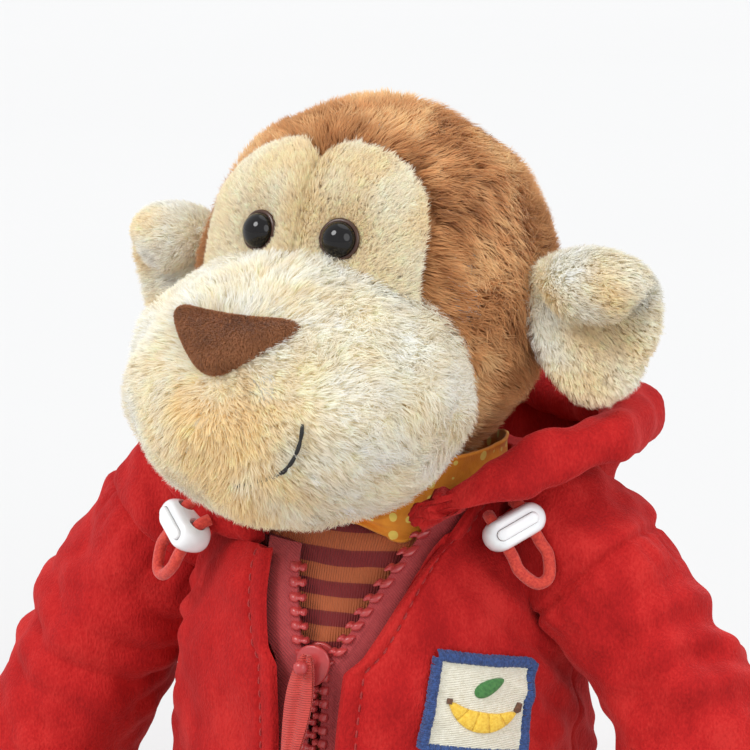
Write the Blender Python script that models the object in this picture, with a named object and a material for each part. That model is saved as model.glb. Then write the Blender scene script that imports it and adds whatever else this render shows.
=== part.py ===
"""A seated plush monkey doll in a hooded zip jacket, as separate pieces.

The frame is +Z up. The doll faces -Y and its left side is +X. The origin is on the flat seat.
Lengths are in metres and angles in degrees. Angles round the trunk are counted from the front, and
are positive towards the doll's left.
"""

import math

import bmesh
import bpy
from mathutils import Matrix, Vector

MM = 0.001
GAP = 0.4 * MM  # between pieces that touch
ROOM = 0.8 * MM  # round a limb that swings in its socket

# Trunk
TORSO_HEIGHT = 135 * MM
TORSO_HALF_WIDTH = 42 * MM
TORSO_FRONT = 39 * MM
TORSO_BACK = 36 * MM
SKIN = 2.0 * MM  # plush cover
SHIRT = 0.8 * MM
# Share of the trunk's height, and share of its width and depth there.
TORSO_SHAPE = (
    (0.00, 0.72),
    (0.07, 0.90),
    (0.20, 1.00),
    (0.37, 1.00),
    (0.56, 0.965),
    (0.74, 0.90),
    (0.86, 0.81),
    (0.93, 0.68),
    (0.97, 0.52),
    (1.00, 0.37),
)
TRUNK_SIDES = 20

# Head, in its own frame: -Y is the way the face points
HEAD_HALF = Vector((43, 38.5, 43.3)) * MM
HEAD_SINK = 3.5 * MM  # the neck seam to the head's lowest point
HEAD_TURN = -8.7  # the face looks a little to its right at rest
NECK_RADIUS = 11 * MM
NECK_SINK = 8.0 * MM  # into the head
NECK_DEPTH = 4.5 * MM  # into the trunk
MUZZLE_HALF = Vector((39.5, 38, 31.5)) * MM
MUZZLE_FORWARD = 34 * MM
MUZZLE_DROP = 17 * MM
APPLIQUE = 2.2 * MM  # thickness of the brow panel and the nose
BROW_HALF_WIDTH = 26.5 * MM
BROW_TOP = 37.5 * MM
BROW_MIDDLE = 12 * MM  # height of the brow panel's widest line
BROW_NOTCH = 3 * MM
BROW_BOTTOM = -5 * MM  # under the muzzle's edge
NOSE_HALF_WIDTH = 18.5 * MM
NOSE_HEIGHT = 12.5 * MM
NOSE_RISE = 8.5 * MM  # the nose's tip above the muzzle's middle
NOSE_SLANT = 0.5  # sewn on a little askew
SMILE_HALF_WIDTH = 20.5 * MM
SMILE_DEPTH = 17 * MM
SMILE_THREAD = 0.8 * MM
EYE_RADIUS = 4.3 * MM
EYE_DOME = 3.4 * MM
EYE_SHANK = 1.3 * MM
EYE_X = 10.2 * MM
EYE_Z = 16.6 * MM
EYE_SINK = 1.4 * MM  # into the brow panel
WASHER_RADIUS = 4.6 * MM
WASHER = 1.2 * MM
EAR_HALF = Vector((16, 6.5, 18)) * MM
EAR_REACH = 56 * MM  # middle of the head to the middle of an ear
EAR_DROP = 3 * MM
EAR_CUP = 14.0  # turned forward, degrees

# Arms and sleeves
SHOULDER = Vector((49, 1, 123)) * MM
ELBOW = Vector((84, -3, 89)) * MM
WRIST = Vector((98, -17, 45)) * MM
ARM_RADIUS = 12.5 * MM
ARM_DROP = {1: 0.0, -1: 7.0}  # the right arm hangs a little lower
SLEEVE_EASE = 1.6 * MM
SHOULDER_FLARE = 5.0  # the armhole opens wider than the sleeve
VELOUR = 2.6 * MM
HAND_LENGTH = 27 * MM
LIMB_SIDES = 14

# Legs
HIP = Vector((22, -26, 18)) * MM
LEG_SPLAY = 14.0
LEG_RADIUS = 17 * MM
ANKLE_RADIUS = 14 * MM
LEG_LENGTH = 105 * MM
FOOT_LENGTH = 27 * MM
FOOT_HEIGHT = 49 * MM
FLOOR_GAP = 0.6 * MM

# Tail
TAIL_RADIUS = 6 * MM
TAIL_RISE = 1.0 * MM

# Jacket
JACKET_EASE = 7.5 * MM
COLLAR_SHARE = 0.60  # the jacket never gets narrower than this share of the trunk
HEM_FRONT = 48 * MM
HEM_BACK = 24 * MM
NECKLINE_FRONT = 125 * MM
NECKLINE_BACK = 137 * MM
NECKLINE_CLIMB = {1: (10, 50), -1: (40, 85)}  # the jacket sits askew, its left collar higher
SIDE_SEAM = 90.0

# Zip
ZIP_BOTTOM = 51 * MM
ZIP_SLIDER = 101 * MM  # height of the slider's middle at rest
ZIP_TOP_LEFT = 137 * MM
ZIP_TOP_RIGHT = 126 * MM
ZIP_SPREAD_LEFT = 20 * MM
ZIP_SPREAD_RIGHT = 4.5 * MM
ZIP_PARTING = 1.7 * MM  # how far the slider parts each row of teeth
ZIP_PITCH = 3.1 * MM
TOOTH = 1.2 * MM  # along the zip
TOOTH_REACH = 1.65 * MM
BEAD = 1.6 * MM
BEAD_FROM_MIDDLE = 1.0 * MM
CHAIN_THICK = 2.4 * MM
TAPE = 0.8 * MM
TAPE_WIDTH = 7.5 * MM
TAPE_SINK = 2.0 * MM  # under the jacket's inner face
ZIP_SHOWS = 6.5 * MM  # middle of the zip to the jacket's edge
SLIDER_HALF_WIDTH = 4.1 * MM
SLIDER_HALF_LENGTH = 4.8 * MM
SLIDER_PLATE = 1.1 * MM
SLIDER_PLAY = 0.45 * MM
PIN_RADIUS = 1.1 * MM
RIBBON_LENGTH = 26 * MM
RIBBON_WIDTH = 5.5 * MM
RIBBON = 1.5 * MM
RIBBON_LEAN = -8.0
RIBBON_LIFT = 3.6 * MM  # off the slider's plate, so that it lies over the jacket's edges

# Hood, lying open round the back of the neck
HOOD_START = 48.0
HOOD_LINING = 1.0 * MM
# The hood's outer face from the neck seam to the rim, in mm outwards of and above the neckline: at
# its front ends, over the shoulders, and behind the back, where it is a pouch.
HOOD_END = (
    (0.0, 0.4),
    (1.1, 0.5),
    (2.2, 0.6),
    (3.3, 0.8),
    (4.4, 1.0),
    (5.5, 1.3),
    (6.6, 1.6),
    (7.7, 1.9),
    (8.8, 2.2),
    (9.9, 2.5),
)
HOOD_SIDE = (
    (0.0, 1.0),
    (4.0, 2.6),
    (8.0, 4.2),
    (12.0, 5.3),
    (15.5, 6.0),
    (19.0, 6.8),
    (22.5, 8.2),
    (25.0, 10.2),
    (26.5, 12.6),
    (27.0, 15.0),
)
HOOD_BACK = (
    (0.0, 1.0),
    (4.5, 1.3),
    (8.5, -2.0),
    (10.0, -10.5),
    (11.5, -19.0),
    (16.0, -24.5),
    (21.5, -23.0),
    (26.0, -13.5),
    (28.0, -1.5),
    (27.5, 9.5),
)

# Neckerchief
SCARF = 1.2 * MM
SCARF_EASE = 2.5 * MM
SCARF_TOP = 146 * MM
SCARF_FRONT = 121 * MM
SCARF_DIP = 4 * MM  # lower behind the neck

# Badge on the left chest
BADGE_ANGLE = 48.0
BADGE_HEIGHT = 93 * MM
BADGE_TILT = 12.0  # sewn on leaning to the doll's left, in degrees
BADGE_HALF_WIDTH = 11.2 * MM
BADGE_HALF_HEIGHT = 9.4 * MM
BADGE_BORDER = 2.2 * MM
BADGE_CLOTH = 0.8 * MM

# Cord locks on the hood's edge
CORD_RADIUS = 1.4 * MM
LOCK_HALF_LENGTH = 7.6 * MM
LOCK_HALF_DEPTH = 4.0 * MM
LOCK_HALF_HEIGHT = 4.2 * MM
LOCK_HOLES_APART = 7.2 * MM
LOCK_CLEARANCE = 0.6 * MM
LOCK_ANGLE = {1: 62.0, -1: 46.0}
LOCK_OUT = {1: 10.2 * MM, -1: 14.2 * MM}
LOCK_DROP = {1: 4.5 * MM, -1: -2.0 * MM}
LOCK_BUTTON_TRAVEL = 1.6 * MM
LOCK_SPRING_RADIUS = 1.1 * MM
CORD_LOOP = 9 * MM

PAINTS = {
    "brown_plush": ((0.42, 0.23, 0.11), 0.95, 0.0),
    "cream_plush": ((0.86, 0.68, 0.42), 0.95, 0.0),
    "nose_velour": ((0.24, 0.10, 0.05), 0.9, 0.0),
    "black_thread": ((0.02, 0.02, 0.02), 0.8, 0.0),
    "eye_plastic": ((0.01, 0.01, 0.01), 0.05, 0.0),
    "washer_plastic": ((0.85, 0.85, 0.85), 0.5, 0.0),
    "fibre_fill": ((0.92, 0.92, 0.9), 1.0, 0.0),
    "pellet_cloth": ((0.8, 0.78, 0.72), 0.9, 0.0),
    "striped_jersey": ((0.55, 0.15, 0.08), 0.85, 0.0),
    "dotted_cotton": ((0.88, 0.42, 0.06), 0.8, 0.0),
    "red_velour": ((0.62, 0.03, 0.03), 0.9, 0.0),
    "zip_tape": ((0.50, 0.05, 0.06), 0.85, 0.0),
    "zip_plastic": ((0.60, 0.07, 0.08), 0.4, 0.0),
    "ribbon_red": ((0.65, 0.05, 0.04), 0.7, 0.0),
    "badge_cotton": ((0.88, 0.86, 0.74), 0.85, 0.0),
    "badge_thread": ((0.03, 0.08, 0.30), 0.7, 0.0),
    "cord_red": ((0.70, 0.06, 0.04), 0.85, 0.0),
    "lock_white": ((0.92, 0.92, 0.92), 0.3, 0.0),
    "spring_steel": ((0.6, 0.6, 0.6), 0.3, 1.0),
}


# ---------------------------------------------------------------- building blocks


def clear_scene():
    for old in list(bpy.data.objects):
        bpy.data.objects.remove(old)


def paint(name):
    found = bpy.data.materials.get(name)
    if found:
        return found
    colour, roughness, metallic = PAINTS[name]
    made = bpy.data.materials.new(name)
    made.use_nodes = True
    shader = made.node_tree.nodes["Principled BSDF"]
    shader.inputs["Base Color"].default_value = (*colour, 1)
    shader.inputs["Roughness"].default_value = roughness
    shader.inputs["Metallic"].default_value = metallic
    made.diffuse_color = (*colour, 1)
    return made


def link(name, data, material, parent=None):
    made = bpy.data.objects.new(name, data)
    bpy.context.scene.collection.objects.link(made)
    if material:
        data.materials.append(paint(material))
    made.parent = parent
    return made


def solid(name, work, material, parent=None):
    """An object from a closed bmesh, its faces turned outwards."""
    bmesh.ops.recalc_face_normals(work, faces=work.faces)
    mesh = bpy.data.meshes.new(name)
    work.to_mesh(mesh)
    work.free()
    mesh.shade_smooth()
    mesh.set_sharp_from_angle(angle=math.radians(40))
    return link(name, mesh, material, parent)


def add_rows(work, rows):
    return [[work.verts.new(p) for p in row] for row in rows]


def face_between(work, a, b, wrap):
    """Quads between two rows of vertices."""
    count = len(a) if wrap else len(a) - 1
    for i in range(count):
        j = (i + 1) % len(a)
        work.faces.new((a[i], a[j], b[j], b[i]))


def lofted(name, rows, material, parent=None, joined=False):
    """A solid through closed rows. The two ends are capped, or joined to each other."""
    work = bmesh.new()
    made = add_rows(work, rows)
    for a, b in zip(made, made[1:]):
        face_between(work, a, b, True)
    if joined:
        face_between(work, made[-1], made[0], True)
    else:
        work.faces.new(made[0])
        work.faces.new(made[-1])
    return solid(name, work, material, parent)


def walled(name, outer, inner, material, parent=None, capped_end=False):
    """A tube with a wall. Its first end is open, and its last end is open or closed by a cap on each side."""
    work = bmesh.new()
    out = add_rows(work, outer)
    back = add_rows(work, inner)
    for rows in (out, back):
        for a, b in zip(rows, rows[1:]):
            face_between(work, a, b, True)
    face_between(work, out[0], back[0], True)
    if capped_end:
        work.faces.new(out[-1])
        work.faces.new(back[-1])
    else:
        face_between(work, out[-1], back[-1], True)
    return solid(name, work, material, parent)


def panel(name, outer, inner, material, parent=None):
    """A bent sheet with a wall, between two open grids."""
    work = bmesh.new()
    out = add_rows(work, outer)
    back = add_rows(work, inner)
    for rows in (out, back):
        for a, b in zip(rows, rows[1:]):
            face_between(work, a, b, False)
    face_between(work, out[0], back[0], False)
    face_between(work, out[-1], back[-1], False)
    face_between(work, [r[0] for r in out], [r[0] for r in back], False)
    face_between(work, [r[-1] for r in out], [r[-1] for r in back], False)
    return solid(name, work, material, parent)


def ellipsoid(name, centre, half, material, parent=None, sides=18, levels=10):
    work = bmesh.new()
    bmesh.ops.create_uvsphere(work, u_segments=sides, v_segments=levels, radius=1)
    place = Matrix.Translation(centre) @ Matrix.Diagonal((*half, 1))
    bmesh.ops.transform(work, matrix=place, verts=work.verts)
    return solid(name, work, material, parent)


def box(name, low, high, material, parent=None):
    work = bmesh.new()
    bmesh.ops.create_cube(work, size=1)
    low, high = Vector(low), Vector(high)
    place = Matrix.Translation((low + high) / 2) @ Matrix.Diagonal((*(high - low), 1))
    bmesh.ops.transform(work, matrix=place, verts=work.verts)
    return solid(name, work, material, parent)


def turned(name, profile, foot, axis, material, parent=None, steps=16):
    """A solid of revolution. The profile is (radius, distance along the axis) pairs from axis to axis."""
    work = bmesh.new()
    points = [work.verts.new((r, 0, h)) for r, h in profile]
    edges = [work.edges.new(pair) for pair in zip(points, points[1:])]
    bmesh.ops.spin(
        work,
        geom=points + edges,
        cent=(0, 0, 0),
        axis=(0, 0, 1),
        angle=math.tau,
        steps=steps,
        use_duplicate=False,
        use_merge=True,
    )
    bmesh.ops.remove_doubles(work, verts=work.verts, dist=1e-6)
    turn = Vector(axis).to_track_quat("Z", "Y").to_matrix().to_4x4()
    bmesh.ops.transform(work, matrix=Matrix.Translation(foot) @ turn, verts=work.verts)
    return solid(name, work, material, parent)


def tube(name, points, radius, material, parent=None, resolution=2):
    data = bpy.data.curves.new(name, "CURVE")
    data.dimensions = "3D"
    line = data.splines.new("POLY")
    line.points.add(len(points) - 1)
    for place, point in zip(line.points, points):
        place.co = (*point, 1)
    data.bevel_depth = radius
    data.bevel_resolution = resolution
    data.use_fill_caps = True
    return link(name, data, material, parent)


def helper(cutter):
    cutter.hide_render = True
    cutter.display_type = "WIRE"
    return cutter


def boolean(target, other, operation):
    made = target.modifiers.new(operation.lower() + "_" + other.name, "BOOLEAN")
    made.operation = operation
    made.object = other
    made.solver = "EXACT"


def cut(target, *cutters):
    for cutter in cutters:
        boolean(target, cutter, "DIFFERENCE")


def extruded(name, outline, y_low, y_high, material, parent=None):
    """A prism of an outline in X and Z, between two depths."""
    work = bmesh.new()
    front, back = add_rows(
        work, [[(x, y, z) for x, z in outline] for y in (y_low, y_high)]
    )
    face_between(work, front, back, True)
    work.faces.new(front)
    work.faces.new(back)
    return solid(name, work, material, parent)


def blend(a, b, share):
    return a + (b - a) * share


def smooth(value, low, high):
    """0 below low, 1 above high, and a smooth step between."""
    share = min(1.0, max(0.0, (value - low) / (high - low)))
    return share * share * (3 - 2 * share)


def mirror(point):
    return Vector((-point[0], point[1], point[2]))


def sided(point, side):
    """The point on the doll's left for side 1, and its mirror image for side -1."""
    return Vector(point) if side > 0 else mirror(point)


SIDES = (("left", 1), ("right", -1))


# ---------------------------------------------------------------- trunk


def torso_share(z):
    """How wide the trunk is at a height, as a share of its widest."""
    share = z / TORSO_HEIGHT
    for (low, a), (high, b) in zip(TORSO_SHAPE, TORSO_SHAPE[1:]):
        if share <= high:
            return blend(a, b, max(0.0, share - low) / (high - low))
    return TORSO_SHAPE[-1][1]


def round_trunk(angle, z, share, offset):
    """A point round the trunk, at an angle from the front."""
    a = math.radians(angle)
    depth = TORSO_FRONT if math.cos(a) > 0 else TORSO_BACK
    x = (TORSO_HALF_WIDTH * share + offset) * math.sin(a)
    return Vector((x, -(depth * share + offset) * math.cos(a), z))


def trunk_rings(offset, low=0, high=len(TORSO_SHAPE), low_z=None, high_z=None):
    """Closed rings of the trunk's surface at the heights of its shape, moved outwards by offset."""
    rings = []
    for level, (height, share) in enumerate(TORSO_SHAPE[low:high]):
        z = height * TORSO_HEIGHT
        if level == 0 and low_z is not None:
            z = low_z
        if level == high - low - 1 and high_z is not None:
            z = high_z
        rings.append(
            [
                round_trunk(360 * i / TRUNK_SIDES, z, share, offset)
                for i in range(TRUNK_SIDES)
            ]
        )
    return rings


def sleeve_radius():
    return ARM_RADIUS + SLEEVE_EASE + VELOUR


def arm_sweep(name, side, grow=0.0):
    """The space of a swinging arm in its sleeve: a ball at the shoulder, opening to a cone."""
    reach = sleeve_radius() + ROOM + grow
    along = (sided(ELBOW, side) - sided(SHOULDER, side)).normalized()
    along.rotate(arm_drop(side))
    lean = math.acos(abs(along.x)) + math.radians(SHOULDER_FLARE)
    profile = []
    steps = 7
    for i in range(steps + 1):
        turn = (math.pi / 2 - lean) * i / steps
        profile.append((reach * math.sin(turn), -reach * math.cos(turn)))
    far = 55 * MM
    radius, height = profile[-1]
    profile.append((radius + far * math.sin(lean), height + far * math.cos(lean)))
    profile.append((0, height + far * math.cos(lean)))
    return helper(
        turned(name, profile, sided(SHOULDER, side), (side, 0, 0), None, steps=20)
    )


def leg_frame(side):
    """The leg's own frame at the hip: -Y runs along the leg and X is the hip's axis."""
    turn = Matrix.Rotation(math.radians(LEG_SPLAY * side), 4, "Z")
    return Matrix.Translation(sided(HIP, side)) @ turn


def leg_sweep(name, side, grow=0.0):
    """The space that a leg takes as it swings from lying forwards to hanging down."""
    reach = LEG_RADIUS + ROOM + grow
    far = 80 * MM
    steps = 6
    outline = [(-far, reach)]
    for i in range(steps + 1):
        turn = math.pi / 2 * i / steps
        outline.append((reach * math.sin(turn), reach * math.cos(turn)))
    outline += [(reach, -far), (-far, -far)]
    work = bmesh.new()
    sides = add_rows(work, [[(x, y, z) for y, z in outline] for x in (-reach, reach)])
    face_between(work, sides[0], sides[1], True)
    work.faces.new(sides[0])
    work.faces.new(sides[1])
    bmesh.ops.transform(work, matrix=leg_frame(side), verts=work.verts)
    return helper(solid(name, work, None))


def trunk_solid(name, offset, low_z, material=None, levels=len(TORSO_SHAPE), high_z=None):
    rings = trunk_rings(offset, 0, levels, low_z=low_z, high_z=high_z)
    return lofted(name, rings, material)


def neck_post(name, radius, low, high, material=None):
    profile = [(0, low), (radius, low), (radius, high), (0, high)]
    foot = (0, head_middle().y, 0)
    return turned(name, profile, foot, (0, 0, 1), material, steps=18)


def make_trunk(sweeps):
    """The skin closes round each limb's socket, and only the neck is open."""
    cover = trunk_solid("body_cover", 0, 0, "brown_plush")
    inside = helper(trunk_solid("body_inside", -SKIN, SKIN, levels=9))
    low, high = TORSO_HEIGHT * 0.8, TORSO_HEIGHT + 5 * MM
    opening = helper(neck_post("neck_opening", NECK_RADIUS + 2 * GAP, low, high))
    cut(inside, *sweeps["sockets"])
    cut(cover, *sweeps["arms"], *sweeps["legs"], inside, opening)
    filling = trunk_solid(
        "body_stuffing", -SKIN - GAP, SKIN + GAP, "fibre_fill", levels=8
    )
    bag_middle = Vector((0, 17 * MM, SKIN + 8 * MM))
    bag_half = Vector((21, 12, 7)) * MM
    ellipsoid("pellet_bag", bag_middle, bag_half, "pellet_cloth", sides=14, levels=8)
    grown = bag_half + Vector((GAP, GAP, 8 * MM))
    pocket = helper(
        ellipsoid("bag_pocket", bag_middle, grown, None, sides=14, levels=8)
    )
    cut(filling, pocket, *sweeps["filling"])
    shirt_low = 3  # the shirt ends above the hips
    shirt = walled(
        "striped_shirt",
        trunk_rings(GAP + SHIRT, shirt_low, len(TORSO_SHAPE) - 1),
        trunk_rings(GAP, shirt_low, len(TORSO_SHAPE) - 1),
        "striped_jersey",
    )
    cut(shirt, *sweeps["arms"])


def make_tail():
    """The tail leaves the seat at the back, lies on the floor and curls to the doll's left."""
    z = TAIL_RADIUS + TAIL_RISE
    root = TORSO_BACK * torso_share(z + TAIL_RADIUS) + GAP
    route = [
        Vector((0, root + TAIL_RADIUS, z)),
        Vector((0, root + 22 * MM, z)),
        Vector((14 * MM, root + 42 * MM, z)),
        Vector((40 * MM, root + 47 * MM, z)),
        Vector((62 * MM, root + 32 * MM, z)),
    ]
    line = through(route, 4)
    return limb("tail", line, lambda t: TAIL_RADIUS * (1 - 0.15 * t), 0, "brown_plush")


def through(points, between):
    """A smooth line through points, with some more between each two."""
    ends = [points[0] * 2 - points[1], *points, points[-1] * 2 - points[-2]]
    line = []
    for a, b, c, d in zip(ends, ends[1:], ends[2:], ends[3:]):
        for i in range(between):
            t = i / between
            line.append(
                0.5
                * (
                    2 * b
                    + (c - a) * t
                    + (2 * a - 5 * b + 4 * c - d) * t**2
                    + (3 * b - 3 * c + d - a) * t**3
                )
            )
    return [*line, Vector(points[-1])]


# ---------------------------------------------------------------- limbs


def ring_at(middle, ahead, radius, sides=LIMB_SIDES):
    across = ahead.cross(Vector((0, 0, 1)))
    if across.length < 1e-6:
        across = Vector((1, 0, 0))
    across.normalize()
    up = across.cross(ahead).normalized()
    return [
        middle
        + radius
        * (
            across * math.cos(math.tau * i / sides)
            + up * math.sin(math.tau * i / sides)
        )
        for i in range(sides)
    ]


def limb_rings(line, radius_at, shrink, sides=LIMB_SIDES, start_dome=True, end_inset=0):
    """Rings along a line. A round start, and a flat end that can stop short."""
    lengths = [0.0]
    for a, b in zip(line, line[1:]):
        lengths.append(lengths[-1] + (b - a).length)
    rings = []
    first = (line[1] - line[0]).normalized()
    if start_dome:
        radius = radius_at(0) - shrink
        for turn in (75, 50, 25):
            a = math.radians(turn)
            rings.append(
                ring_at(
                    line[0] - first * radius * math.sin(a),
                    first,
                    radius * math.cos(a),
                    sides,
                )
            )
    for i, point in enumerate(line):
        before, after = line[max(0, i - 1)], line[min(len(line) - 1, i + 1)]
        ahead = (after - before).normalized()
        if i == len(line) - 1:
            point = point - ahead * end_inset
        rings.append(
            ring_at(point, ahead, radius_at(lengths[i] / lengths[-1]) - shrink, sides)
        )
    return rings


def limb(name, line, radius_at, shrink, material):
    return lofted(name, limb_rings(line, radius_at, shrink, sides=10), material)


def arm_drop(side):
    """How an arm is turned down about its shoulder at rest."""
    return Matrix.Rotation(math.radians(ARM_DROP[side] * side), 3, "Y")


def arm_line(side, share=1.0):
    steps = 8
    line = []
    start = sided(SHOULDER, side)
    for i in range(steps + 1):
        t = share * i / steps
        point = SHOULDER * (1 - t) ** 2 + ELBOW * 2 * t * (1 - t) + WRIST * t**2
        line.append(start + arm_drop(side) @ (sided(point, side) - start))
    return line


def make_arm(name, side):
    line = arm_line(side)

    def radius_at(t):
        return ARM_RADIUS * (1 - 0.14 * t)

    # The cover is open at the shoulder, where it is sewn shut against the trunk.
    outer = limb_rings(line, radius_at, 0)
    inner = limb_rings(line, radius_at, SKIN, end_inset=SKIN)
    walled(f"arm_cover_{name}", outer, inner, "brown_plush", capped_end=True)
    filling = limb_rings(line, radius_at, SKIN + GAP, end_inset=SKIN + GAP)
    lofted(f"arm_filling_{name}", filling, "fibre_fill")
    make_hand(name, line, radius_at(1))
    make_sleeve(name, side)


def make_sleeve(name, side):
    line = arm_line(side, 0.93)

    def radius_at(t):
        return sleeve_radius()

    outer = limb_rings(line, radius_at, 0)[2:]
    inner = limb_rings(line, radius_at, VELOUR)[2:]
    walled(f"sleeve_{name}", outer, inner, "red_velour")


def make_hand(name, line, wrist_radius):
    ahead = (line[-1] - line[-2]).normalized()
    start = line[-1] + ahead * GAP
    stations = ((0, 0.98), (0.25, 1.12), (0.55, 1.15), (0.8, 0.95), (0.95, 0.55))
    rings = [
        ring_at(start + ahead * HAND_LENGTH * t, ahead, wrist_radius * r, 12)
        for t, r in stations
    ]
    hand = lofted(f"hand_{name}", rings, "cream_plush")
    inward = Vector((-math.copysign(1, start.x), -0.6, 0)).normalized()
    thumb_middle = start + ahead * HAND_LENGTH * 0.38 + inward * wrist_radius * 1.15
    thumb_half = Vector((1, 1, 1.5)) * wrist_radius * 0.42
    thumb = helper(
        ellipsoid(f"thumb_{name}", thumb_middle, thumb_half, None, sides=10, levels=6)
    )
    boolean(hand, thumb, "UNION")


def make_leg(name, side):
    frame = leg_frame(side)
    steps = 5

    def radius_at(t):
        return blend(LEG_RADIUS, ANKLE_RADIUS, t)

    line = []
    for i in range(steps + 1):
        t = i / steps
        drop = HIP.z - LEG_RADIUS - FLOOR_GAP
        z = radius_at(t) - LEG_RADIUS - drop * t
        line.append(frame @ Vector((0, -LEG_LENGTH * t, z)))
    outer = limb_rings(line, radius_at, 0)
    inner = limb_rings(line, radius_at, SKIN, end_inset=SKIN)
    walled(f"leg_cover_{name}", outer, inner, "brown_plush", capped_end=True)
    filling = limb_rings(line, radius_at, SKIN + GAP, end_inset=SKIN + GAP)
    lofted(f"leg_filling_{name}", filling, "fibre_fill")
    make_foot(name, frame, side)


def make_foot(name, frame, side):
    """An upright foot: the sole faces forwards."""
    base = -HIP.z + FLOOR_GAP
    ankle = 2 * ANKLE_RADIUS
    # Share of the foot's length, half width, lowest and highest point above the floor.
    stations = (
        (0.0, ANKLE_RADIUS * 0.95, 0.6 * MM, ankle),
        (0.15, ANKLE_RADIUS * 1.12, 0, FOOT_HEIGHT * 0.88),
        (0.5, ANKLE_RADIUS * 1.2, 0, FOOT_HEIGHT),
        (0.82, ANKLE_RADIUS * 1.08, 3 * MM, FOOT_HEIGHT * 0.94),
        (1.0, ANKLE_RADIUS * 0.7, 11 * MM, FOOT_HEIGHT * 0.76),
    )
    rings = []
    for share, half, low, high in stations:
        y = -LEG_LENGTH - GAP * 2 - FOOT_LENGTH * share
        middle, tall = base + (low + high) / 2, (high - low) / 2
        rings.append(
            [
                frame
                @ Vector(
                    (
                        half * math.cos(math.tau * i / LIMB_SIDES),
                        y,
                        middle + tall * math.sin(math.tau * i / LIMB_SIDES),
                    )
                )
                for i in range(LIMB_SIDES)
            ]
        )
    lofted(f"foot_{name}", rings, "cream_plush")


# ---------------------------------------------------------------- jacket and zip


def jacket_share(z):
    return max(torso_share(z), COLLAR_SHARE)


def jacket_point(angle, z, offset=0.0):
    """A point of the jacket's inner face, moved outwards by offset."""
    return round_trunk(angle, z, jacket_share(z), JACKET_EASE + offset)


def hem(angle):
    return blend(HEM_FRONT, HEM_BACK, smooth(abs(angle), 62, 118))


def neckline(angle, side):
    share = smooth(abs(angle), *NECKLINE_CLIMB[side])
    return blend(NECKLINE_FRONT, NECKLINE_BACK, share)


def zip_front(z):
    """How far in front the zip runs. It is straight up to the slider and follows the chest above it."""
    lift = JACKET_EASE - TAPE_SINK - TAPE / 2

    def chest(height):
        return TORSO_FRONT * jacket_share(height) + lift

    bend = ZIP_SLIDER + SLIDER_HALF_LENGTH
    if z >= bend:
        return chest(z)
    low = chest(ZIP_BOTTOM)
    return blend(low, chest(bend), (z - ZIP_BOTTOM) / (bend - ZIP_BOTTOM))


def zip_opening(z, side):
    """How far one half of the zip stands off the middle at a height."""
    top, spread = (
        (ZIP_TOP_LEFT, ZIP_SPREAD_LEFT)
        if side > 0
        else (ZIP_TOP_RIGHT, ZIP_SPREAD_RIGHT)
    )
    share = max(0.0, (z - ZIP_SLIDER) / (top - ZIP_SLIDER))
    parting = ZIP_PARTING * smooth(z, ZIP_SLIDER - 1 * MM, ZIP_SLIDER + 4 * MM)
    return spread * share + parting


def zip_point(z, from_middle, side, outwards=0.0):
    """A point of one half of the zip: from_middle is counted from where its teeth meet the other half's."""
    x = zip_opening(z, side) + from_middle
    width = TORSO_HALF_WIDTH * jacket_share(z) + JACKET_EASE
    bend = math.sqrt(1 - (x / width) ** 2)
    return Vector((side * x, -(zip_front(z) + outwards) * bend, z))


def edge_angle(z, side):
    """Where a front panel's edge lies, as an angle."""
    x = zip_opening(z, side) + ZIP_SHOWS
    width = TORSO_HALF_WIDTH * jacket_share(z) + JACKET_EASE
    return math.degrees(math.asin(x / width))


def front_grid(side, offset, across=8, up=16):
    rows = []
    for i in range(up + 1):
        row = []
        for j in range(across + 1):
            u, v = j / across, i / up
            angle, z = blend(8.0, SIDE_SEAM, u), HEM_FRONT
            for _ in range(6):
                z = blend(hem(angle), neckline(angle, side), v)
                angle = blend(edge_angle(z, side), SIDE_SEAM, u)
            row.append(jacket_point(side * angle, z, offset))
        rows.append(row)
    return rows


def back_grid(offset, across=14, up=8):
    start = SIDE_SEAM + math.degrees(GAP / TORSO_HALF_WIDTH)
    rows = []
    for i in range(up + 1):
        row = []
        for j in range(across + 1):
            angle = blend(start, 360 - start, j / across)
            folded, side = (angle, 1) if angle <= 180 else (360 - angle, -1)
            z = blend(hem(folded), neckline(folded, side), i / up)
            row.append(jacket_point(angle, z, offset))
        rows.append(row)
    return rows


def make_jacket(sweeps):
    for name, side in SIDES:
        front = panel(
            f"jacket_front_{name}",
            front_grid(side, VELOUR),
            front_grid(side, 0),
            "red_velour",
        )
        cut(front, sweeps["arms"][0 if side > 0 else 1])
    back = panel("jacket_back", back_grid(VELOUR), back_grid(0), "red_velour")
    cut(back, *sweeps["arms"])
    make_badge()
    make_zip()


def zip_top(side):
    return ZIP_TOP_LEFT if side > 0 else ZIP_TOP_RIGHT


def make_zip():
    for name, side in SIDES:
        rows_out, rows_in = [], []
        steps = 24
        for i in range(steps + 1):
            z = blend(ZIP_BOTTOM, zip_top(side), i / steps)
            start = BEAD_FROM_MIDDLE + BEAD + GAP
            across = [start + TAPE_WIDTH * k / 2 for k in range(3)]
            rows_out.append([zip_point(z, x, side, TAPE / 2) for x in across])
            rows_in.append([zip_point(z, x, side, -TAPE / 2) for x in across])
        tape = panel(f"zip_tape_{name}", rows_out, rows_in, "zip_tape")
        tape.data.shade_flat()
        make_teeth(name, side)
    # The box holds the two halves together at the zip's foot.
    front = zip_front(ZIP_BOTTOM)
    box_top = ZIP_BOTTOM - GAP
    box_half = BEAD_FROM_MIDDLE + BEAD
    box(
        "zip_bottom_box",
        (-box_half, -front - CHAIN_THICK / 2, box_top - 5 * MM),
        (box_half, -front + CHAIN_THICK / 2, box_top),
        "zip_plastic",
    )
    make_slider()


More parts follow.
